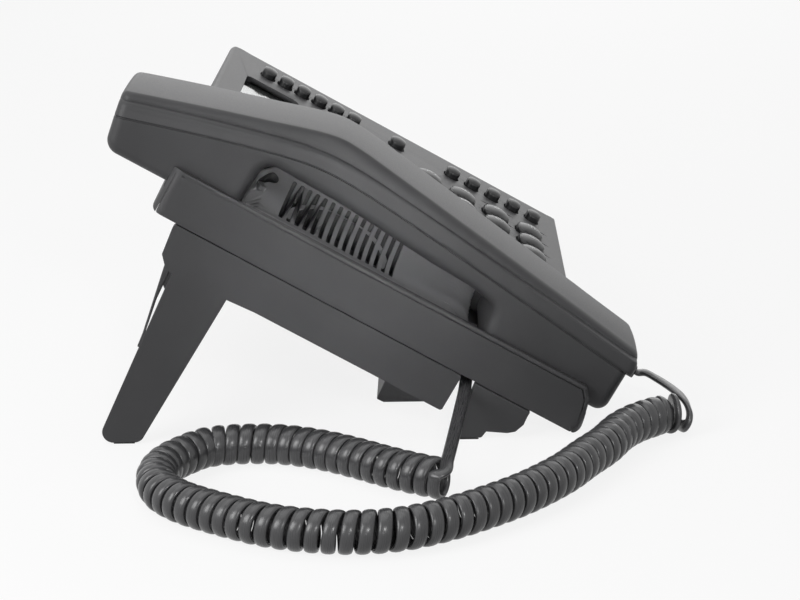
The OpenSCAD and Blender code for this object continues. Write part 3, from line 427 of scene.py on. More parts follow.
class PHONE_OT_stage(bpy.types.Operator):
    """Set up the floor, the soft studio light and the camera"""
    bl_idname = "phone.stage"
    bl_label = "Stage and camera"

    def execute(self, context):
        scene = context.scene
        stage = scene.phone_stage
        data = bpy.data.cameras.new("camera")
        data.lens = CAMERA_LENS
        data.sensor_width = 36.0
        data.clip_start = 0.01
        data.clip_end = 50.0
        camera = bpy.data.objects.new("camera", data)
        scene.collection.objects.link(camera)
        forward = Vector((math.cos(CAMERA_PITCH) * math.cos(CAMERA_TURN),
                          math.cos(CAMERA_PITCH) * math.sin(CAMERA_TURN), -math.sin(CAMERA_PITCH)))
        level = Vector((math.sin(CAMERA_TURN), -math.cos(CAMERA_TURN), 0.0))
        upright = level.cross(forward)
        right = level * math.cos(CAMERA_ROLL) - upright * math.sin(CAMERA_ROLL)
        up = level * math.sin(CAMERA_ROLL) + upright * math.cos(CAMERA_ROLL)
        turn = Matrix((right, up, -forward)).transposed().to_4x4()
        camera.matrix_world = Matrix.Translation(CAMERA_PLACE) @ turn
        scene.camera = camera

        bm = bmesh.new()
        bmesh.ops.create_grid(bm, x_segments=1, y_segments=1, size=6.0)
        mesh = bpy.data.meshes.new("floor")
        bm.to_mesh(mesh)
        bm.free()
        floor = bpy.data.objects.new("floor", mesh)
        scene.collection.objects.link(floor)
        n = Nodes("floor_paint")
        n.set(Base_Color=(FLOOR_GREY, FLOOR_GREY, FLOOR_GREY, 1), Roughness=0.9, Specular_IOR_Level=0.0)
        glow = n.add("ShaderNodeEmission", {"Color": WHITE, "Strength": FLOOR_GLOW}).outputs[0]
        paint = see_white(n.tree, n.shader.outputs[0], glow, FLOOR_GLOW_SHARE)
        n.tree.links.new(paint, n.tree.nodes["Material Output"].inputs["Surface"])
        mesh.materials.append(n.material)

        world = bpy.data.worlds.new("studio")
        scene.world = world
        world.use_nodes = True
        tree = world.node_tree
        even = tree.nodes["Background"]
        even.inputs["Color"].default_value = WHITE
        even.inputs["Strength"].default_value = stage.sky
        white = tree.nodes.new("ShaderNodeBackground")
        white.inputs["Color"].default_value = WHITE
        white.inputs["Strength"].default_value = WORLD_WHITE
        tree.links.new(see_white(tree, even.outputs[0], white.outputs[0], 1.0),
                       tree.nodes["World Output"].inputs["Surface"])

        area_lamp("overhead", (0.1, 0.2, 1.5), (0, 0, 0.05), 1.3, stage.lamp_power)
        area_lamp("beside_camera", (-1.05, -0.2, 0.55), (-0.08, 0, 0.05), 0.1, stage.fill_power)
        area_lamp("low_left", (-0.46, 0.0, 0.12), (-0.055, 0.0, 0.062), 0.06, stage.low_power, 24.0)
        area_lamp("rear_left", (-0.5, 0.55, 0.42), (-0.08, 0.03, 0.06), 0.4, stage.rear_power)
        area_lamp("beyond", (0.9, -0.1, 0.55), (0, 0, 0.06), 0.9, stage.far_power)
        scene.view_settings.view_transform = "Standard"
        return {"FINISHED"}


# ---- cord ----
# Places the cord passes on the desk, across and back from the body's front lower edge, and their height.
COIL_ROUTE = ((-89.5, -39), (-91, -35), (-93.2, -30.5), (-96.8, -25.7), (-102, -20.5), (-110, -15),
              (-122.5, -9), (-134.5, -1.5), (-149.5, 7.5), (-166, 21), (-179.5, 36), (-188.8, 49),
              (-194.8, 61.3), (-197, 74.5), (-195.6, 88.2), (-191, 103), (-182.8, 117), (-173.5, 130),
              (-166.5, 137.3), (-159, 142.3), (-149.5, 144.9), (-141, 144.8), (-133, 142), (-126, 137.3),
              (-120, 131.8), (-117.2, 124), (-116.5, 115), (-117.3, 105.5), (-120.5, 96), (-125.5, 86.5),
              (-132.5, 76.5), (-140, 67), (-146.5, 57.5), (-152.2, 47.6))
HANDSET_ROUTE = ((-69.2, -28.2, 15.6), (-71.5, -31.6, 14.4), (-75.5, -34.8, 13.4), (-80, -37.6, 12.5),
                 (-84.5, -39.8, 11.6), (-89, -41.3, 10.3), (-92.8, -41.9, 8.5), (-95, -41.7, 6.6),
                 (-95.2, -41, 4.8), (-93.2, -40, 3.2))
BASE_ROUTE = ((-108, 41, 17.2), (-124, 43, 15.2), (-140, 45, 13.4), (-150, 46.2, 12.7), (-156, 46.9, 11.6))
BOOT_L = 6.6  # length of a plug's boot
RIBBON_SIDES = 14
RIBBON_CURVE = 0.88  # under 1: the flat cord's section is fuller than an ellipse


def spline(points, steps):
    """A smooth line through the points, as a Catmull-Rom curve."""
    out = []
    last = len(points) - 1
    for i in range(last):
        a, b, c, d = (points[max(i - 1, 0)], points[i], points[i + 1], points[min(i + 2, last)])
        for s in range(steps):
            t = s / steps
            out.append(0.5 * (2 * b + (c - a) * t + (2 * a - 5 * b + 4 * c - d) * t * t
                              + (3 * b - a - 3 * c + d) * t ** 3))
    out.append(points[last])
    return out


def even_points(points, step):
    """The line's points again, a fixed distance apart."""
    total = sum((b - a).length for a, b in zip(points, points[1:]))
    count = max(2, round(total / step))
    out, i, walked = [points[0].copy()], 0, 0.0
    for k in range(1, count):
        want = total * k / count
        while walked + (points[i + 1] - points[i]).length < want:
            walked += (points[i + 1] - points[i]).length
            i += 1
        t = (want - walked) / (points[i + 1] - points[i]).length
        out.append(points[i].lerp(points[i + 1], t))
    out.append(points[-1].copy())
    return out


def desk_point(x, y, z):
    """A place on the desk, in millimetres back from the body's front lower edge, in metres."""
    return Vector((x, y + FRONT_Y, z)) * MM


# The pitch of the first turns, and the parts of a turn that the coil starts and ends at.
LOOSE_TURNS = ((0.0, 4.6), (1.0, 4.4), (2.0, 4.4), (3.0, 4.7), (4.0, 5.3))
START_TURN = 0.75
END_TURN = 0.05
LAY_OVER_TURNS = (0.2, 2.6)  # where the flat cord turns from edgewise to lying along the coil


def loose_pitch(turn, pitch):
    """The pitch at a turn: the first turns at the handset's end lie differently from the rest."""
    for (a, wide), (b, less) in zip(LOOSE_TURNS, LOOSE_TURNS[1:]):
        if turn < b:
            return (wide + (less - wide) * (turn - a) / (b - a)) * MM
    return pitch


def helix_points(turn_points, pitch, half_w, half_t):
    """The coil's centreline and, at each point, the direction across the flat cord."""
    fine = spline([desk_point(x, y, COIL_D / 2 + 0.05) for x, y in COIL_ROUTE], 60)
    stretch = 1.0
    for _ in range(2):
        axis, walked, want, k = [], 0.0, 0.0, 0
        for a, b in zip(fine, fine[1:]):
            step = (b - a).length
            while walked + step > want:
                axis.append(a.lerp(b, (want - walked) / step))
                want += stretch * loose_pitch(k / turn_points, pitch) / turn_points
                k += 1
            walked += step
        turns = math.floor(len(axis) / turn_points + START_TURN - END_TURN)
        count = round((turns - START_TURN + END_TURN) * turn_points) + 1
        stretch = (len(axis) - 1) / (count - 1)
    axis = axis[:count]
    up = Vector((0, 0, 1))
    line, across = [], []
    for i, p in enumerate(axis):
        ahead = (axis[min(i + 4, len(axis) - 1)] - axis[max(i - 4, 0)]).normalized()
        side = ahead.cross(up).normalized()
        angle = 2 * math.pi * (i / turn_points + START_TURN)
        out = side * math.cos(angle) + up * math.sin(angle)
        flat = smoothstep(*LAY_OVER_TURNS, i / turn_points)
        reach = COIL_D * MM / 2 - half_w + (half_w - half_t) * flat - 0.8 * flat * (1 - flat) * MM
        line.append(p + out * reach)
        across.append((out * (1 - flat) + ahead * flat).normalized())
    return line, across


def ribbon(bm, line, across, half_w, half_t, sides, uv):
    """A flat tube with well-rounded sides along a line, wide in the across direction."""
    rings, count = [], len(line)
    for i, p in enumerate(line):
        ahead = (line[min(i + 1, count - 1)] - line[max(i - 1, 0)]).normalized()
        wide = (across[i] - ahead * across[i].dot(ahead)).normalized()
        thin = ahead.cross(wide)
        ring = []
        for k in range(sides):
            a = 2 * math.pi * k / sides
            c, s = math.cos(a), math.sin(a)
            c = math.copysign(abs(c) ** RIBBON_CURVE, c)
            s = math.copysign(abs(s) ** RIBBON_CURVE, s)
            ring.append(bm.verts.new(p + wide * half_w * c + thin * half_t * s))
        rings.append(ring)
    length = 0.0
    for i in range(count - 1):
        step = (line[i + 1] - line[i]).length
        for k in range(sides):
            face = bm.faces.new((rings[i][k], rings[i][(k + 1) % sides],
                                 rings[i + 1][(k + 1) % sides], rings[i + 1][k]))
            for loop, (u, w) in zip(face.loops, ((0, k), (0, k + 1), (step, k + 1), (step, k))):
                loop[uv].uv = ((length + u) * 10, w / sides)
        length += step
    bm.faces.new(rings[0][::-1])
    bm.faces.new(rings[-1])
    return length


def cord_line(cord):
    """Centreline of the whole cord from the handset's plug to the base's plug, and its width directions."""
    coil, wide = helix_points(cord.turn_points, cord.pitch, cord.width / 2, cord.thickness / 2)
    step = (coil[1] - coil[0]).length
    start = [desk(HANDSET_X, MOUTH_END - BOOT_L - d, CORD_H) for d in (0.25, 1.8)]
    start += [desk_point(*p) for p in HANDSET_ROUTE]
    start += [coil[0]]
    end = [desk_point(*p) for p in BASE_ROUTE]
    slot = desk(-HALF_W, JACK_V - 0.5, -4.4)
    plug = [desk(JACK_X - 18, JACK_V - 0.3, -1.6), desk(JACK_X - BOOT_L - 4, JACK_V, 1.8),
            desk(JACK_X - BOOT_L - 0.25, JACK_V, 1.8)]
    lead = (coil[-1] - coil[-4]).normalized()
    end = [coil[-1], coil[-1] + lead * 1.2 * MM] + end[::-1] + [slot] + plug
    first = even_points(spline(start, 12), step * 0.6)
    last = even_points(spline(end, 12), step * 0.6)
    line = first[:-1] + coil + last[1:]
    middle = desk_point(COIL_ROUTE[0][0], COIL_ROUTE[0][1], COIL_D / 2)
    across = []
    for i, p in enumerate(first[:-1]):
        t = smoothstep(0.7, 1.0, i / len(first))
        out = (p - middle).normalized()
        across.append((Vector((1, 0, 0)) * (t - 1) + out * t).normalized())
    across += wide
    for i in range(1, len(last)):
        t = smoothstep(0.0, 0.6, i / (len(last) - 1))
        across.append(wide[-1].lerp(Vector((0, -1, 0)), t).normalized())
    return line, across


class PHONE_OT_cord(bpy.types.Operator):
    """Make the curly handset cord from the handset's plug to the base's plug"""
    bl_idname = "phone.cord"
    bl_label = "Curly cord"

    def execute(self, context):
        cord = context.scene.phone_cord
        line, across = cord_line(cord)
        bm = bmesh.new()
        uv = bm.loops.layers.uv.new("jacket")
        length = ribbon(bm, line, across, cord.width / 2, cord.thickness / 2, RIBBON_SIDES, uv)
        bmesh.ops.recalc_face_normals(bm, faces=bm.faces)
        obj = piece("curly_cord", bm, "cord_jacket", None, crease=60.0, place=False)
        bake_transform(obj)
        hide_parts("cord_handset_end", "cord_coil", "cord_base_end")
        return {"FINISHED"}


# ---- handset ----
def soft_min(a, b, k):
    return (a + b - math.sqrt((a - b) ** 2 + k * k)) / 2


def quarter(d, r):
    """How far a round corner of radius r stands back, at distance d from its end."""
    return 0.0 if d >= r else r - math.sqrt(max(0.0, r * r - (r - max(d, 0.0)) ** 2))


def top_line(v):
    return soft_min(36.5 + 0.1435 * (v + 7.3), 31.5 + 0.3185 * (201 - v), 3)


def seam_line(v):
    return soft_min(28.6 + 0.125 * (v + 5), 23.5 + 0.299 * (199.5 - v), 7)


def lean(v, h):
    """The ends of the handset lean: the ear end outwards and the mouth end inwards at the top."""
    return (0.17 * (h - 23.4) * clamp01((v - 150) / 45)
            + 0.22 * max(0.0, h - 30.5) * clamp01((20 - v) / 28))


def arc_points(corners, step):
    """A line through corners (v, h, radius), each rounded, with points about step apart."""
    out = []
    for i, (v, h, r) in enumerate(corners):
        here = Vector((v, h))
        if r == 0 or i in (0, len(corners) - 1):
            out.append(here)
            continue
        back = (Vector(corners[i - 1][:2]) - here).normalized()
        on = (Vector(corners[i + 1][:2]) - here).normalized()
        half = math.acos(max(-1.0, min(1.0, back.dot(on)))) / 2
        centre = here + (back + on).normalized() * (r / math.sin(half))
        a = here + back * (r / math.tan(half)) - centre
        b = here + on * (r / math.tan(half)) - centre
        sweep = math.pi - 2 * half
        count = max(3, math.ceil(sweep / math.radians(9)))
        turn = 1 if a.x * b.y - a.y * b.x > 0 else -1
        for k in range(count + 1):
            s = turn * sweep * k / count
            out.append(centre + Vector((a.x * math.cos(s) - a.y * math.sin(s),
                                        a.x * math.sin(s) + a.y * math.cos(s))))
    fine = [out[0]]
    for p in out[1:]:
        pieces = max(1, round((p - fine[-1]).length / step))
        start = fine[-1]
        for k in range(1, pieces + 1):
            fine.append(start.lerp(p, k / pieces))
    return fine


UNDER_R = 4.0  # radius of the lower shell's long edges
SEAM_GAP = 0.15  # the lower shell ends this far under the seam line
GROOVE_EDGE = (0.42, 0.56)  # how far under the seam the parting groove gives way to the full width
MIN_ROW_STEP = 0.12
SIDE_STEPS = (0.0, 0.4, 0.55, 1.1, 2.2, 3.6, 5.2)  # depths of the points down the lower shell's side
EDGE_STEPS = 8
FLOOR_STEPS = 3
# The underside's corners, front to back: place along the body, height and radius.
UNDERSIDE = ((-6.6, 28.2, 0), (-6.6, 10.3, 4.6), (46.9, 10.3, 4.6), (47.9, 26.6, 5.0), (59.5, 28.75, 30),
             (75.6, 29.5, 60), (114.8, 33.0, 80), (144.6, 33.7, 5.0), (146.7, 10.3, 4.6), (199.7, 10.3, 4.6),
             (199.7, 23.4, 0))
SEAM_STEPS = (0.0, 0.4, 0.55, 1.1)


def lower_rows():
    """Points of the underside from the front seam to the back seam, each with its inward offset point,
    its outward direction and the place on the side seam that its row starts from."""
    under = arc_points(UNDERSIDE, 1.5)
    under[0].y = seam_line(MOUTH_END) - SEAM_GAP
    under[-1].y = seam_line(EAR_END) - SEAM_GAP
    front, back = under[0], under[-1]
    under = ([Vector((front.x, front.y - d)) for d in SEAM_STEPS]
             + [p for p in under[1:-1] if not (p.x < -6.5 and p.y > front.y - 2) and
                not (p.x > 199.6 and p.y > back.y - 2)]
             + [Vector((back.x, back.y - d)) for d in SEAM_STEPS[::-1]])
    rows, count = [], len(under)
    for i, p in enumerate(under):
        ahead = (under[min(i + 1, count - 1)] - under[max(i - 1, 0)]).normalized()
        outward = Vector((ahead.y, -ahead.x))
        rows.append([p, p - outward * UNDER_R, outward, 0.0])
    for i in range(count):
        rows[i][3] = rows[i][1].x if i == 0 else max(rows[i - 1][3] + MIN_ROW_STEP, rows[i][1].x)
    for i in range(count - 1, -1, -1):
        rows[i][3] = min(rows[i][3], rows[i][1].x if i == count - 1 else rows[i + 1][3] - MIN_ROW_STEP)
    return rows


def handset_half(bm, name, node, merge, faces_up, crease):
    """Makes the finished grid into a thin shell that rides on the handset, its outer side facing out."""
    bmesh.ops.remove_doubles(bm, verts=bm.verts, dist=merge)
    bmesh.ops.recalc_face_normals(bm, faces=bm.faces)
    up = sum(f.normal.z * f.calc_area() for f in bm.faces)
    if (up > 0) != faces_up:
        bmesh.ops.reverse_faces(bm, faces=bm.faces)
    obj = piece(name, bm, "charcoal_shell", "handset", [node], crease=crease)
    wall = obj.modifiers.new("wall", "SOLIDIFY")
    wall.thickness = bpy.context.scene.phone_handset.shell_wall
    wall.offset = -1.0


class PHONE_OT_lower_shell(bpy.types.Operator):
    """Make the handset's lower shell: two cups and the handle's arch"""
    bl_idname = "phone.lower_shell"
    bl_label = "Handset lower shell"

    def execute(self, context):
        groove = context.scene.phone_handset.parting_gap / MM
        rows = lower_rows()
        half = len(SIDE_STEPS) + EDGE_STEPS + FLOOR_STEPS
        bm = bmesh.new()
        bmesh.ops.create_grid(bm, x_segments=len(rows) - 1, y_segments=2 * half, size=1.0)
        grid = sorted(bm.verts, key=lambda p: (round(p.co.x, 6), round(p.co.y, 6)))
        width = 2 * half + 1
        for i, (p, c, outward, s) in enumerate(rows):
            at_end = i < len(SEAM_STEPS) or i >= len(rows) - len(SEAM_STEPS)
            top = Vector((s, seam_line(s) - SEAM_GAP))
            foot = c.copy()
            if at_end:
                foot.y += seam_line(c.x) - seam_line(p.x)
            drop = foot - top
            length = max(drop.length, 1e-6)
            places = [(HANDSET_HALF, top + drop * min(1.0, d / length), (1.0, 0.0)) for d in SIDE_STEPS]
            places.append((HANDSET_HALF, c, (1.0, 0.0)))
            for k in range(1, EDGE_STEPS + 1):
                a = math.pi / 2 * k / EDGE_STEPS
                places.append((HANDSET_HALF - UNDER_R + UNDER_R * math.cos(a),
                               c + outward * UNDER_R * math.sin(a), (math.cos(a), math.sin(a))))
            for k in range(1, FLOOR_STEPS + 1):
                places.append(((HANDSET_HALF - UNDER_R) * (1 - k / FLOOR_STEPS), p, (0.0, 1.0)))
            for j in range(width):
                x, q, (nx, nv) = places[j] if j <= half else places[2 * half - j]
                q = q.copy()
                if at_end and len(SIDE_STEPS) <= min(j, 2 * half - j):
                    q.y += seam_line(q.x) - seam_line(p.x)
                depth = seam_line(q.x) - SEAM_GAP - q.y
                inset = groove * (1 - smoothstep(*GROOVE_EDGE, depth))
                x -= nx * inset
                q -= outward * nv * inset
                x = x if j <= half else -x
                grid[i * width + j].co = (HANDSET_X + x, q.x + lean(q.x, q.y), q.y)
        handset_half(bm, "handset_lower_half", "handset_lower_shell", 0.01, False, 40.0)
        return {"FINISHED"}


PLAN_R = 4.0  # radius of the upper shell's corners, seen from above
BACK_R = 2.2  # radius of its two ends' upper edges, seen from the side
LEDGE_H = 5.4  # the ledge above the seam
LEDGE_W = 2.8  # its width at the mouth's end; it runs out towards the ear's end
STRIP_LEAN = 0.9  # how far the side strip leans in up to the ledge
STRIP_FOOT = 0.14  # height of the small bevel at the strip's foot
CAP_ROWS = 7


def upper_half_section(v):
    """Half section of the upper shell, from the seam to the middle, with about 30 points."""
    w = HANDSET_HALF - quarter(min(v - NOSE_END, EAR_END - v), PLAN_R)
    s = seam_line(v)
    ledge = LEDGE_W * clamp01((100 - v) / 90)
    t = top_line(v) - quarter(min(v - NOSE_END, EAR_END - v), BACK_R)
    c = min(s + LEDGE_H, t - 2.4)
    lean_in = STRIP_LEAN * (1 - 0.75 * ledge / LEDGE_W)
    r = 0.8 + 1.7 * clamp01((v - 80) / 60)
    strip_top = w - lean_in
    points = [(w - 0.12, s), (w, s + STRIP_FOOT)]
    for k in (1, 2, 3, 4):
        points.append((w + (strip_top - w) * k / 4, s + STRIP_FOOT + (c - r - s - STRIP_FOOT) * k / 4))
    soft = 0.75 + 0.25 * ledge / LEDGE_W
    for a in (22.5, 45, 67.5, 90):
        a = math.radians(a)
        points.append((strip_top - r * soft * (1 - math.cos(a)), c - r + r * math.sin(a)))
    xs = w - r - ledge - lean_in
    zs = c + 0.12 + 0.1 * ledge
    edge = points[-1]
    for k in (1, 2, 3):
        points.append((edge[0] + (xs - edge[0]) * k / 3, edge[1] + (zs - edge[1]) * k / 3))
    wt = w - 6.0 - 3 * clamp01((100 - v) / 90)
    for k in range(1, 11):
        a = math.pi / 2 * k / 10
        points.append((xs - (xs - wt) * (1 - math.cos(a)) ** 1.05, zs + (t - 0.5 - zs) * math.sin(a)))
    for k in range(1, 7):
        x = wt * (1 - k / 6)
        points.append((x, t - 0.5 * (x / wt) ** 2))
    return points


class PHONE_OT_upper_shell(bpy.types.Operator):
    """Make the handset's upper shell: the flat back with its shoulders, ledges and rounded ends"""
    bl_idname = "phone.upper_shell"
    bl_label = "Handset upper shell"

    def execute(self, context):
        ends = [PLAN_R * (1 - math.cos(math.radians(a))) for a in range(0, 91, 9)]
        middle = [NOSE_END + 5.5 + k * (EAR_END - NOSE_END - 11) / 110 for k in range(111)]
        rows = [NOSE_END + d for d in ends] + middle + [EAR_END - d for d in ends[::-1]]
        half = len(upper_half_section(50.0)) - 1
        width = 2 * half + 1
        bm = bmesh.new()
        bmesh.ops.create_grid(bm, x_segments=len(rows) + 2 * CAP_ROWS - 1, y_segments=2 * half, size=1.0)
        grid = sorted(bm.verts, key=lambda p: (round(p.co.x, 6), round(p.co.y, 6)))
        for i in range(len(rows) + 2 * CAP_ROWS):
            v = rows[min(max(i - CAP_ROWS, 0), len(rows) - 1)]
            cap = max(CAP_ROWS - i, i - CAP_ROWS - len(rows) + 1, 0) / CAP_ROWS
            section = upper_half_section(v)
            for j in range(width):
                x, h = section[j] if j <= half else section[2 * half - j]
                x = x if j <= half else -x
                x *= 1 - cap
                h += (seam_line(v) - h) * cap
                grid[i * width + j].co = (HANDSET_X + x, v + lean(v, h), h)
        handset_half(bm, "handset_upper_half", "handset_upper_shell", 0.004, True, 50.0)
        return {"FINISHED"}


# ---- housings ----
# The finger trough under the handset: how far it reaches along and across the body, and its wall's heights.
TROUGH_V = (50.0, 145.0)
TROUGH_X = (-92.1, -43.5)
TROUGH_H = (8, 21)
TROUGH_CELL = (1.215, 4.0)  # size of the cells its wall is cut into, across and along the body
TROUGH_END = (8, 7)  # length over which the deeper curve fades in at the front and out at the rear
TROUGH_MAP = ((-92.1, -92.1), (-87, -66), (-48, -46.5), (-43.5, -43.5))  # where places across it move to
SHALLOW_CURVE = (57, 45)  # height of the centre and radius, as packed
DEEP_CURVE = (41.5, 29.5)
MOST_RISE = 7
NEAR_SHARE = 0.5  # how much of the deeper curve the near side takes


def curve_height(curve, dx):
    centre, radius = curve
    return centre - math.sqrt(max(radius ** 2 - dx ** 2, 0))


def trough_span(face):
    """The face's lowest and highest place on each axis, where it reaches into the trough's wall."""
    low = [min(v.co[i] for v in face.verts) for i in range(3)]
    high = [max(v.co[i] for v in face.verts) for i in range(3)]
    inside = (low[0] < TROUGH_X[1] and high[0] > TROUGH_X[0] and low[1] < TROUGH_V[1]
              and high[1] > TROUGH_V[0] and TROUGH_H[0] < high[2] < TROUGH_H[1])
    return (low, high) if inside else None


def cut_trough(bm):
    """Cuts the trough's wall into cells small enough to bend."""
    bmesh.ops.triangulate(bm, faces=[f for f in bm.faces if trough_span(f)])
    cuts = [(0, TROUGH_X[0] + k * TROUGH_CELL[0]) for k in range(1, 40)]
    cuts += [(1, TROUGH_V[0] + TROUGH_CELL[1] * k) for k in range(1, 24)]
    for axis, at in cuts:
        near = []
        for f in bm.faces:
            span = trough_span(f)
            if span and span[0][axis] < at - 0.05 and span[1][axis] > at + 0.05:
                near.append(f)
        edges = dict.fromkeys(e for f in near for e in f.edges)
        verts = dict.fromkeys(v for f in near for v in f.verts)
        normal = (1, 0, 0) if axis == 0 else (0, 1, 0)
        bmesh.ops.bisect_plane(bm, geom=[*near, *edges, *verts], dist=0.001,
                               plane_co=[c * at for c in normal], plane_no=normal)
    bmesh.ops.triangulate(bm, faces=[f for f in bm.faces if len(f.verts) > 3])


def bend_trough(bm):
    """Gives the finger trough its deeper curve on the far side, keeping the wall's thickness."""
    cut_trough(bm)
    for v in bm.verts:
        x, y, z = v.co
        if not (TROUGH_X[0] < x < TROUGH_X[1] and TROUGH_V[0] < y < TROUGH_V[1]
                and TROUGH_H[0] < z < TROUGH_H[1]):
            continue
        level = z - curve_height(SHALLOW_CURVE, x - HANDSET_X)
        for (a, b), (c, d) in zip(TROUGH_MAP, TROUGH_MAP[1:]):
            if a <= x <= c:
                x = b + (x - a) * (d - b) / (c - a)
                break
        ends = (smoothstep(TROUGH_V[0], TROUGH_V[0] + TROUGH_END[0], y)
                * (1 - smoothstep(TROUGH_V[1] - TROUGH_END[1], TROUGH_V[1], y)))
        x = v.co.x + (x - v.co.x) * ends
        dx = x - HANDSET_X
        shallow = curve_height(SHALLOW_CURVE, dx)
        deep = curve_height(DEEP_CURVE, dx)
        if dx < 0:
            deep = shallow + NEAR_SHARE * max(0.0, min(deep, SIDE_H - 0.4) - shallow)
        v.co.x = x
        v.co.z = level + shallow + min(deep - shallow, MOST_RISE) * ends


def outside_test(bm):
    """Tells whether a place on the mesh is seen from outside: nothing lies beyond it along its normal."""
    tree = BVHTree.FromBMesh(bm)

    def outside(mid, edge):
        n = sum((f.normal for f in edge.link_faces), Vector()).normalized()
        hit = tree.ray_cast(mid + n * 0.05, n, 400.0)
        return hit[0] is None

    return outside


class PHONE_OT_housings(bpy.types.Operator):
    """Make the housings and the stand with rounded edges"""
    bl_idname = "phone.housings"
    bl_label = "Housings and stand"

    def execute(self, context):
        round_mm = context.scene.phone_body.edge_round / MM
        bm = cad_copy("top_housing")
        bend_trough(bm)
        outside = outside_test(bm)

        # Which edges are rounded: the panel's fine edges a little, the bold outer ones more, and no slot's.
        def grille(mid):
            return abs(mid.x + 67.5) < 23.5 and 60 < mid.y < 144 and 8 < mid.z < 24

        def fine(mid, edge):
            on_panel = mid.z > FACE_H - 0.1 and -35 < mid.x < 86 and 18 < mid.y < 164
            return on_panel and outside(mid, edge)

        def bold(mid, edge):
            return (edge.calc_length() > 1.2 and mid.z > 8.9 and not grille(mid) and outside(mid, edge)
                    and not fine(mid, edge))

        soften(bm, 0.25, 1, 38, fine)
        outside = outside_test(bm)
        soften(bm, round_mm, 3, 38, bold)
        # Painted light: the trough's upward-facing faces take the lighter copy of the shell's plastic, as if
        # lit
        for f in bm.faces:
            x, y, z = f.calc_center_median()
            if TROUGH_X[0] + 0.6 < x < TROUGH_X[1] and 45 < y < 146 and 11.5 < z < 24 and f.normal.z > 0.25:
                f.material_index = 1
        top = weighted(piece("top_case", bm, "charcoal_shell", "base", ["top_housing"], crease=50))
        top.data.materials.append(finish("trough_painted_light"))

        bm = cad_copy("bottom_housing")
        outside = outside_test(bm)
        soften(bm, 0.6, 2, 38, lambda m, e: e.calc_length() > 1.5 and outside(m, e) and abs(m.x + 68) > 27)
        weighted(piece("bottom_case", bm, "charcoal_shell", "base", ["bottom_housing"], crease=50))

        bm = cad_copy("stand")
        outside = outside_test(bm)
        soften(bm, 0.5, 2, 38, lambda m, e: e.calc_length() > 1.0 and outside(m, e))
        weighted(piece("desk_stand", bm, "charcoal_shell", "base", ["stand"], crease=50))
        return {"FINISHED"}


# ---- keys ----
DIAL_KEYS = ("key_1", "key_2", "key_3", "key_4", "key_5", "key_6", "key_7", "key_8", "key_9", "key_star",
             "key_0", "key_hash")
DIAL_SIGNS = "123456789*0#"
DIAL_DOME = 12.16  # radius of a dial key's domed top
DIAL_TOP = FACE_H + 3.8
SIGN_SIZE = 6.4
INK_LIFT = 0.025


def sign_mesh(sign, centre):
    """One sign as a thin print that lies on a dial key's dome."""
    curve = bpy.data.curves.new("sign", "FONT")
    curve.body = sign
    curve.size = SIGN_SIZE
    curve.align_x = "CENTER"
    curve.align_y = "CENTER"
    curve.resolution_u = 3
    made = bpy.data.objects.new("sign", curve)
    bpy.context.scene.collection.objects.link(made)
    bpy.context.view_layer.update()
    mesh = bpy.data.meshes.new_from_object(made.evaluated_get(bpy.context.evaluated_depsgraph_get()))
    bpy.data.objects.remove(made)
    bpy.data.curves.remove(curve)
    bm = bmesh.new()
    bm.from_mesh(mesh)
    bpy.data.meshes.remove(mesh)
    bmesh.ops.remove_doubles(bm, verts=bm.verts, dist=0.005)
    for k in range(-6, 7):
        for normal in ((1, 0, 0), (0, 1, 0)):
            geom = bm.faces[:] + bm.edges[:] + bm.verts[:]
            bmesh.ops.bisect_plane(bm, geom=geom, dist=0.001, plane_co=Vector(normal) * k * 0.5,
                                   plane_no=normal)
    for v in bm.verts:
        x, y = v.co.x, v.co.y
        v.co = Vector((x + centre[0], y + centre[1],
                       DIAL_TOP - DIAL_DOME + math.sqrt(DIAL_DOME ** 2 - x * x - y * y) + INK_LIFT))
    bmesh.ops.recalc_face_normals(bm, faces=bm.faces)
    if sum(f.normal.z for f in bm.faces) < 0:
        bmesh.ops.reverse_faces(bm, faces=bm.faces[:])
    return bm


class PHONE_OT_keys(bpy.types.Operator):
    """Make the key caps with rounded upper edges and print the dial keys' numerals"""
    bl_idname = "phone.keys"
    bl_label = "Keys"

    def execute(self, context):
        round_mm = context.scene.phone_keys.cap_round / MM
        names = [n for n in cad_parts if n.startswith(("key_", "line_key", "feature_key", "soft_key"))
                 and n != "key_mat"] + ["nav_rocker", "volume_rocker", "message_key"]
        for name in names:
            bm = cad_copy(name)
            wide = round_mm if name in DIAL_KEYS or name == "nav_rocker" else round_mm * 0.7
            soften(bm, wide, 3, 30, lambda m, e: m.z > FACE_H + 0.4)
            weighted(piece(name + "_cap", bm, "key_plastic", name, [name], crease=45))
        for name, sign in zip(DIAL_KEYS, DIAL_SIGNS):
            low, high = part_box(name)
            middle = ON_BODY.inverted() @ ((low + high) / 2)
            piece(name + "_sign", sign_mesh(sign, (middle.x, middle.y)), "key_ink", name)
        return {"FINISHED"}


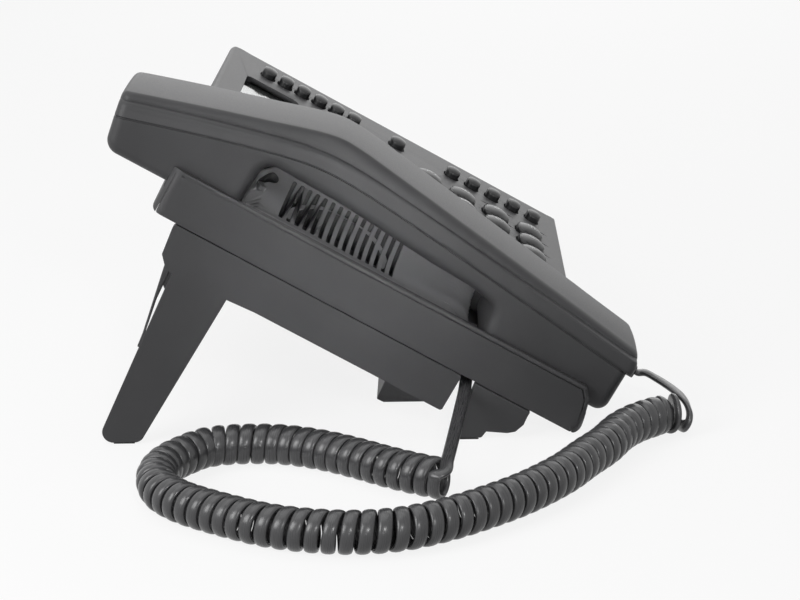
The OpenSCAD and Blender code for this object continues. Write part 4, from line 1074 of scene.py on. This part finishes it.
class PHONE_OT_inside(bpy.types.Operator):
    """Finish the pieces that keep their frame shape"""
    bl_idname = "phone.inside"
    bl_label = "Frame pieces' finishes"

    def execute(self, context):
        kept = {
            "rubber": ["rubber_feet"], "steel": ["housing_screws", "handset_screws"],
            "circuit_board": ["main_board"], "key_mat_rubber": ["key_mat"],
            "display_lens": ["display_window"], "display_panel": ["display_module"],
            "speaker_parts": ["loudspeaker", "base_microphone", "ear_capsule", "mic_capsule"],
            "socket_plastic": ["hook_switch", "network_sockets", "power_socket", "handset_jack",
                               "headset_jack", "handset_socket"],
            # The retainer tab also takes the trough's lighter plastic, which is painted light
            "trough_painted_light": ["retainer_tab"], "weight_steel": ["handset_weight"],
            "plug_plastic": ["cord_handset_plug", "cord_base_plug"],
            "key_plastic": ["hook_plunger"],
        }
        for material, nodes in kept.items():
            for node in nodes:
                redress(node, material)
        return {"FINISHED"}


class PHONE_PT_panel(bpy.types.Panel):
    """Lists the telephone's pieces and their settings"""
    bl_idname = "PHONE_PT_panel"
    bl_label = "Telephone"
    bl_space_type = "VIEW_3D"
    bl_region_type = "UI"
    bl_category = "Telephone"

    def draw(self, context):
        layout = self.layout
        for group in SETTINGS:
            column = layout.column(align=True)
            settings = getattr(context.scene, group)
            for key in settings.bl_rna.properties.keys():
                if key not in ("rna_type", "name"):
                    column.prop(settings, key)
        for operator in OPERATORS:
            layout.operator(operator.bl_idname)


SETTINGS = {
    "phone_body": BodySettings, "phone_handset": HandsetSettings, "phone_cord": CordSettings,
    "phone_keys": KeySettings, "phone_stage": StageSettings,
}
OPERATORS = (PHONE_OT_stage, PHONE_OT_cord, PHONE_OT_upper_shell, PHONE_OT_lower_shell, PHONE_OT_housings,
             PHONE_OT_keys, PHONE_OT_inside)


def register():
    for kind in (*SETTINGS.values(), *OPERATORS, PHONE_PT_panel):
        bpy.utils.register_class(kind)
    for name, kind in SETTINGS.items():
        setattr(bpy.types.Scene, name, PointerProperty(type=kind))


def unregister():
    for name in SETTINGS:
        delattr(bpy.types.Scene, name)
    for kind in reversed((*SETTINGS.values(), *OPERATORS, PHONE_PT_panel)):
        bpy.utils.unregister_class(kind)


def main():
    register()
    mix_finishes(bpy.context.scene)
    for operator in OPERATORS:
        group, name = operator.bl_idname.split(".")
        getattr(getattr(bpy.ops, group), name)()


if __name__ == "__main__":
    main()
